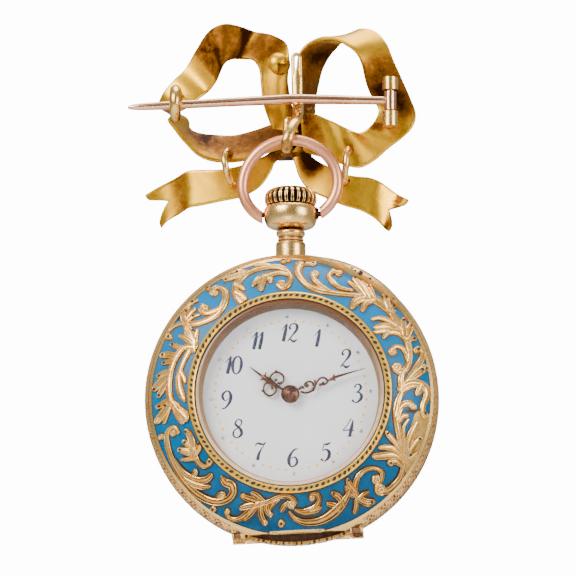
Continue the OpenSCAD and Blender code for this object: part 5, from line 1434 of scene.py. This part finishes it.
# Hands, in the drawing: strokes of x, y and width, and knobs of x, y and radius
HOUR_STROKES = [
    [(250.4, 365, 0.5), (256, 369, 1.2), (262.5, 374, 1.8)],
    [(266.7, 371, 0.6), (265.8, 374.5, 1.8), (264.5, 376, 2)],
    [(261.3, 378, 0.8), (264, 377, 1.8), (266, 376.5, 2)],
    [(263, 374.2, 2), (268, 377.5, 4), (274, 381.5, 3.4), (279.5, 385, 1.6), (285, 388.5, 2)],
    [(272, 380, 1.6), (271.6, 375, 1.5), (275, 371.2, 1.5), (280, 371, 1.5), (284.2, 374.6, 1.5),
     (284.3, 379.5, 1.5), (281.5, 382, 1.5), (278.5, 380.8, 1.2)],
    [(277, 380, 1), (276.5, 378, 1.6), (278.6, 378.4, 1.2)],
    [(272, 381, 1.6), (266.6, 382, 1.5), (264.5, 386.5, 1.5), (266, 391.4, 1.5), (270.6, 393.8, 1.5),
     (275.4, 391.6, 1.5), (277, 387.2, 1.5), (275.6, 384.6, 1.2)],
    [(263.2, 389, 1.4), (265, 388.6, 1)]
]
HOUR_KNOBS = [(277, 369.4, 1), (263.2, 389, 1), (282.2, 380.6, 1), (273.2, 386.6, 1.2), (279.6, 385.1, 1.4),
              (272.5, 385, 0.9), (266.9, 371.3, 0.7), (261.6, 378, 0.7)]
MINUTE_STROKES = [
    [(365.7, 368.3, 0.4), (352, 371.8, 1.1), (336, 376.5, 2), (331, 378.4, 1.4)],
    [(334.6, 373.8, 0.8), (334.2, 376.6, 2), (331.6, 379, 1.6)],
    [(336.4, 380, 0.8), (334, 378.6, 2), (331.6, 379, 1.6)],
    [(332, 378.6, 2.2), (328.6, 380, 1.6), (327, 382.6, 1.5), (323.6, 384, 1.5), (321.6, 382.8, 1.2)],
    [(328.5, 380, 1.6), (325.4, 377.2, 1.5), (321.2, 377.4, 1.5), (318, 380.8, 1.5), (316, 384, 2),
     (314.4, 387, 2), (311, 390.8, 1.5), (305.8, 391.8, 1.5), (301.6, 390.4, 1.6)],
    [(315.4, 379.6, 1.2), (315.6, 382.8, 2), (315.2, 386, 2), (314.2, 389.8, 1)],
    [(314.2, 384.8, 1.5), (312.8, 381.4, 1.5), (309, 380.8, 1.5), (306, 382.6, 1.5), (305.4, 385.2, 1.4)],
    [(299.6, 388.4, 2), (302.4, 386.2, 2), (305, 386.8, 1.2)]
]
MINUTE_KNOBS = [(307.6, 384.6, 1.9), (321, 383.8, 1.4), (323.8, 382, 1.1), (302.2, 386.6, 1.2),
                (315.8, 379.8, 0.9), (314, 389.6, 0.9), (304.8, 387.4, 0.8)]
# From the drawing's widths and radii to millimetres
HAND_WIRE_UNIT = 0.074
HAND_WIRE_MIN_R = 0.04
HAND_KNOB_UNIT = 0.125
# The minute hand's stepped cap: its radius, and rows of a share of the radius and the height over its foot
CAP_R = 0.95
CAP = [
    (0.96, 0), (1, 0.1), (0.97, 0.2), (0.86, 0.28), (0.8, 0.27), (0.66, 0.36), (0.42, 0.45), (0.38, 0.43),
    (0.25, 0.5)
]


def build_hand(name, strokes, knobs, height, body, node, capped):
    """A hand of thin wires and round knobs, on a flat collar or under a stepped cap."""
    shape = Shape()
    middle = height + HAND_T / 2
    for rows in strokes:
        path = []
        radii = []
        for x, y, wide in eased(rows, 5):
            at = flat_place((x, y), HUB_MID)
            path.append(in_case(at.x, at.y, middle, 0))
            radii.append(max(wide * HAND_WIRE_UNIT, HAND_WIRE_MIN_R))
        shape.tube(path, radii, 10)
    for x, y, r in knobs:
        at = flat_place((x, y), HUB_MID)
        shape.ball(in_case(at.x, at.y, middle, 0), r * HAND_KNOB_UNIT, squash=0.7)
    if capped:
        steps = [(CAP_R * share, height + rise) for share, rise in CAP]
        shape.lathe([(0.3, height)] + steps + [(0.02, height + 0.53)], in_case, 60, wrap=False)
    else:
        top = height + HAND_T
        shape.lathe([(0.3, height), (0.7, height), (0.7, top), (0.3, top)], in_case, 40)
    make(shape, name, HAND_GOLD, body, "hand_gold", node)


# Stage: floor, lights, world and camera


def area_light(name, at, aim, size, power, colour=(1, 1, 1)):
    """A softbox that shines from one point towards another, in millimetres."""
    data = bpy.data.lights.new(name, "AREA")
    data.shape = "SQUARE"
    data.size = size * MM
    data.energy = power
    data.color = colour
    light = bpy.data.objects.new(name, data)
    light.location = Vector(at) * MM
    light.rotation_euler = (Vector(aim) - Vector(at)).to_track_quat("-Z", "Y").to_euler()
    bpy.context.scene.collection.objects.link(light)


def build_stage():
    """A pale floor, four softboxes, and a white room that is darker in front of the watch."""
    mesh = bpy.data.meshes.new("floor")
    half, level = 3.0, -0.26
    corners = [(-half, -half, level), (half, -half, level), (half, half, level), (-half, half, level)]
    mesh.from_pydata(corners, [], [(0, 1, 2, 3)])
    floor = bpy.data.objects.new("floor", mesh)
    mesh.materials.append(plain("floor_pale", (0.85, 0.85, 0.86), (0.82, 0.82, 0.83), 3, 0.7))
    bpy.context.scene.collection.objects.link(floor)
    middle = (0, 0, -20)
    area_light("key_softbox", (-330, -420, 260), middle, 330, 5.5, (1.0, 0.98, 0.95))
    area_light("fill_softbox", (420, -330, 60), middle, 260, 2.2)
    area_light("top_softbox", (40, 60, 480), middle, 380, 3.5)
    area_light("low_softbox", (-60, -380, -330), middle, 240, 1.8)
    world = bpy.data.worlds.new("studio")
    bpy.context.scene.world = world
    world.use_nodes = True
    tree = world.node_tree
    tree.nodes.clear()
    place = add_node(tree, "ShaderNodeTexCoord").outputs["Generated"]
    part = add_node(tree, "ShaderNodeSeparateXYZ", {"Vector": place})
    front = remap(tree, part.outputs["Y"], -1.0, -0.35, 0.26, 0.42)
    tall = remap(tree, part.outputs["Z"], -0.6, 0.7, 0.55, 1.25)
    # A dark place in front, below the eye's height, where a photographer would stand
    aside = math_node(tree, "DIVIDE", part.outputs["X"], 0.17)
    above = math_node(tree, "DIVIDE", math_node(tree, "ADD", part.outputs["Z"], 0.2), 0.22)
    aside_2 = math_node(tree, "MULTIPLY", aside, aside)
    above_2 = math_node(tree, "MULTIPLY", above, above)
    gap = remap(tree, math_node(tree, "ADD", aside_2, above_2), 0.5, 1.6, 0.08, 1)
    light = math_node(tree, "MULTIPLY", math_node(tree, "MULTIPLY", front, tall), gap)
    seen = add_node(tree, "ShaderNodeLightPath").outputs["Is Camera Ray"]
    # The camera itself sees a white background
    strength = add_node(tree, "ShaderNodeMix", {0: seen, 2: light, 3: 14.0}, data_type="FLOAT").outputs[0]
    back = add_node(tree, "ShaderNodeBackground", {"Color": (1, 1, 1, 1), "Strength": strength})
    add_node(tree, "ShaderNodeOutputWorld", {"Surface": back.outputs[0]})


def build_camera():
    """The photograph looks slightly up at the watch, and from a little to its right."""
    aim = Vector((-0.31, 0, -19.58)) * MM
    away = Vector((0.052, -1, -0.194)).normalized()
    distance = 0.9
    picture_w = 59.15 * MM
    data = bpy.data.cameras.new("camera")
    data.sensor_width = 36
    data.lens = data.sensor_width * distance / picture_w
    data.clip_start = 0.05
    data.clip_end = 20
    camera = bpy.data.objects.new("camera", data)
    camera.location = aim + away * distance
    camera.rotation_euler = (-away).to_track_quat("-Z", "Y").to_euler()
    bpy.context.scene.collection.objects.link(camera)
    bpy.context.scene.camera = camera


build_camera()
build_stage()
build_bow()
build_hook()
build_pin()
build_ring()
build_pendant()
build_crown()
build_enamel()
build_losses()
build_scrolls()
build_bezel_rings()
build_engraved_rim()
build_lip()
build_hinge()
build_dial()
build_hand("hour_hand_fine", HOUR_STROKES, HOUR_KNOBS, HOUR_H, "hours", "hour_hand", False)
build_hand("minute_hand_fine", MINUTE_STROKES, MINUTE_KNOBS, MINUTE_H, "minutes", "minute_hand", True)

for node, material in (("pin_catch", FINDING_GOLD), ("hinge_barrel", FINDING_GOLD),
                       ("case_middle", CASE_GOLD), ("front_bezel", CASE_GOLD), ("back_cover", CASE_GOLD),
                       ("crystal", GLASS), ("dial", DIAL_WHITE), ("hand_arbor", HAND_GOLD)):
    dress(node, material)
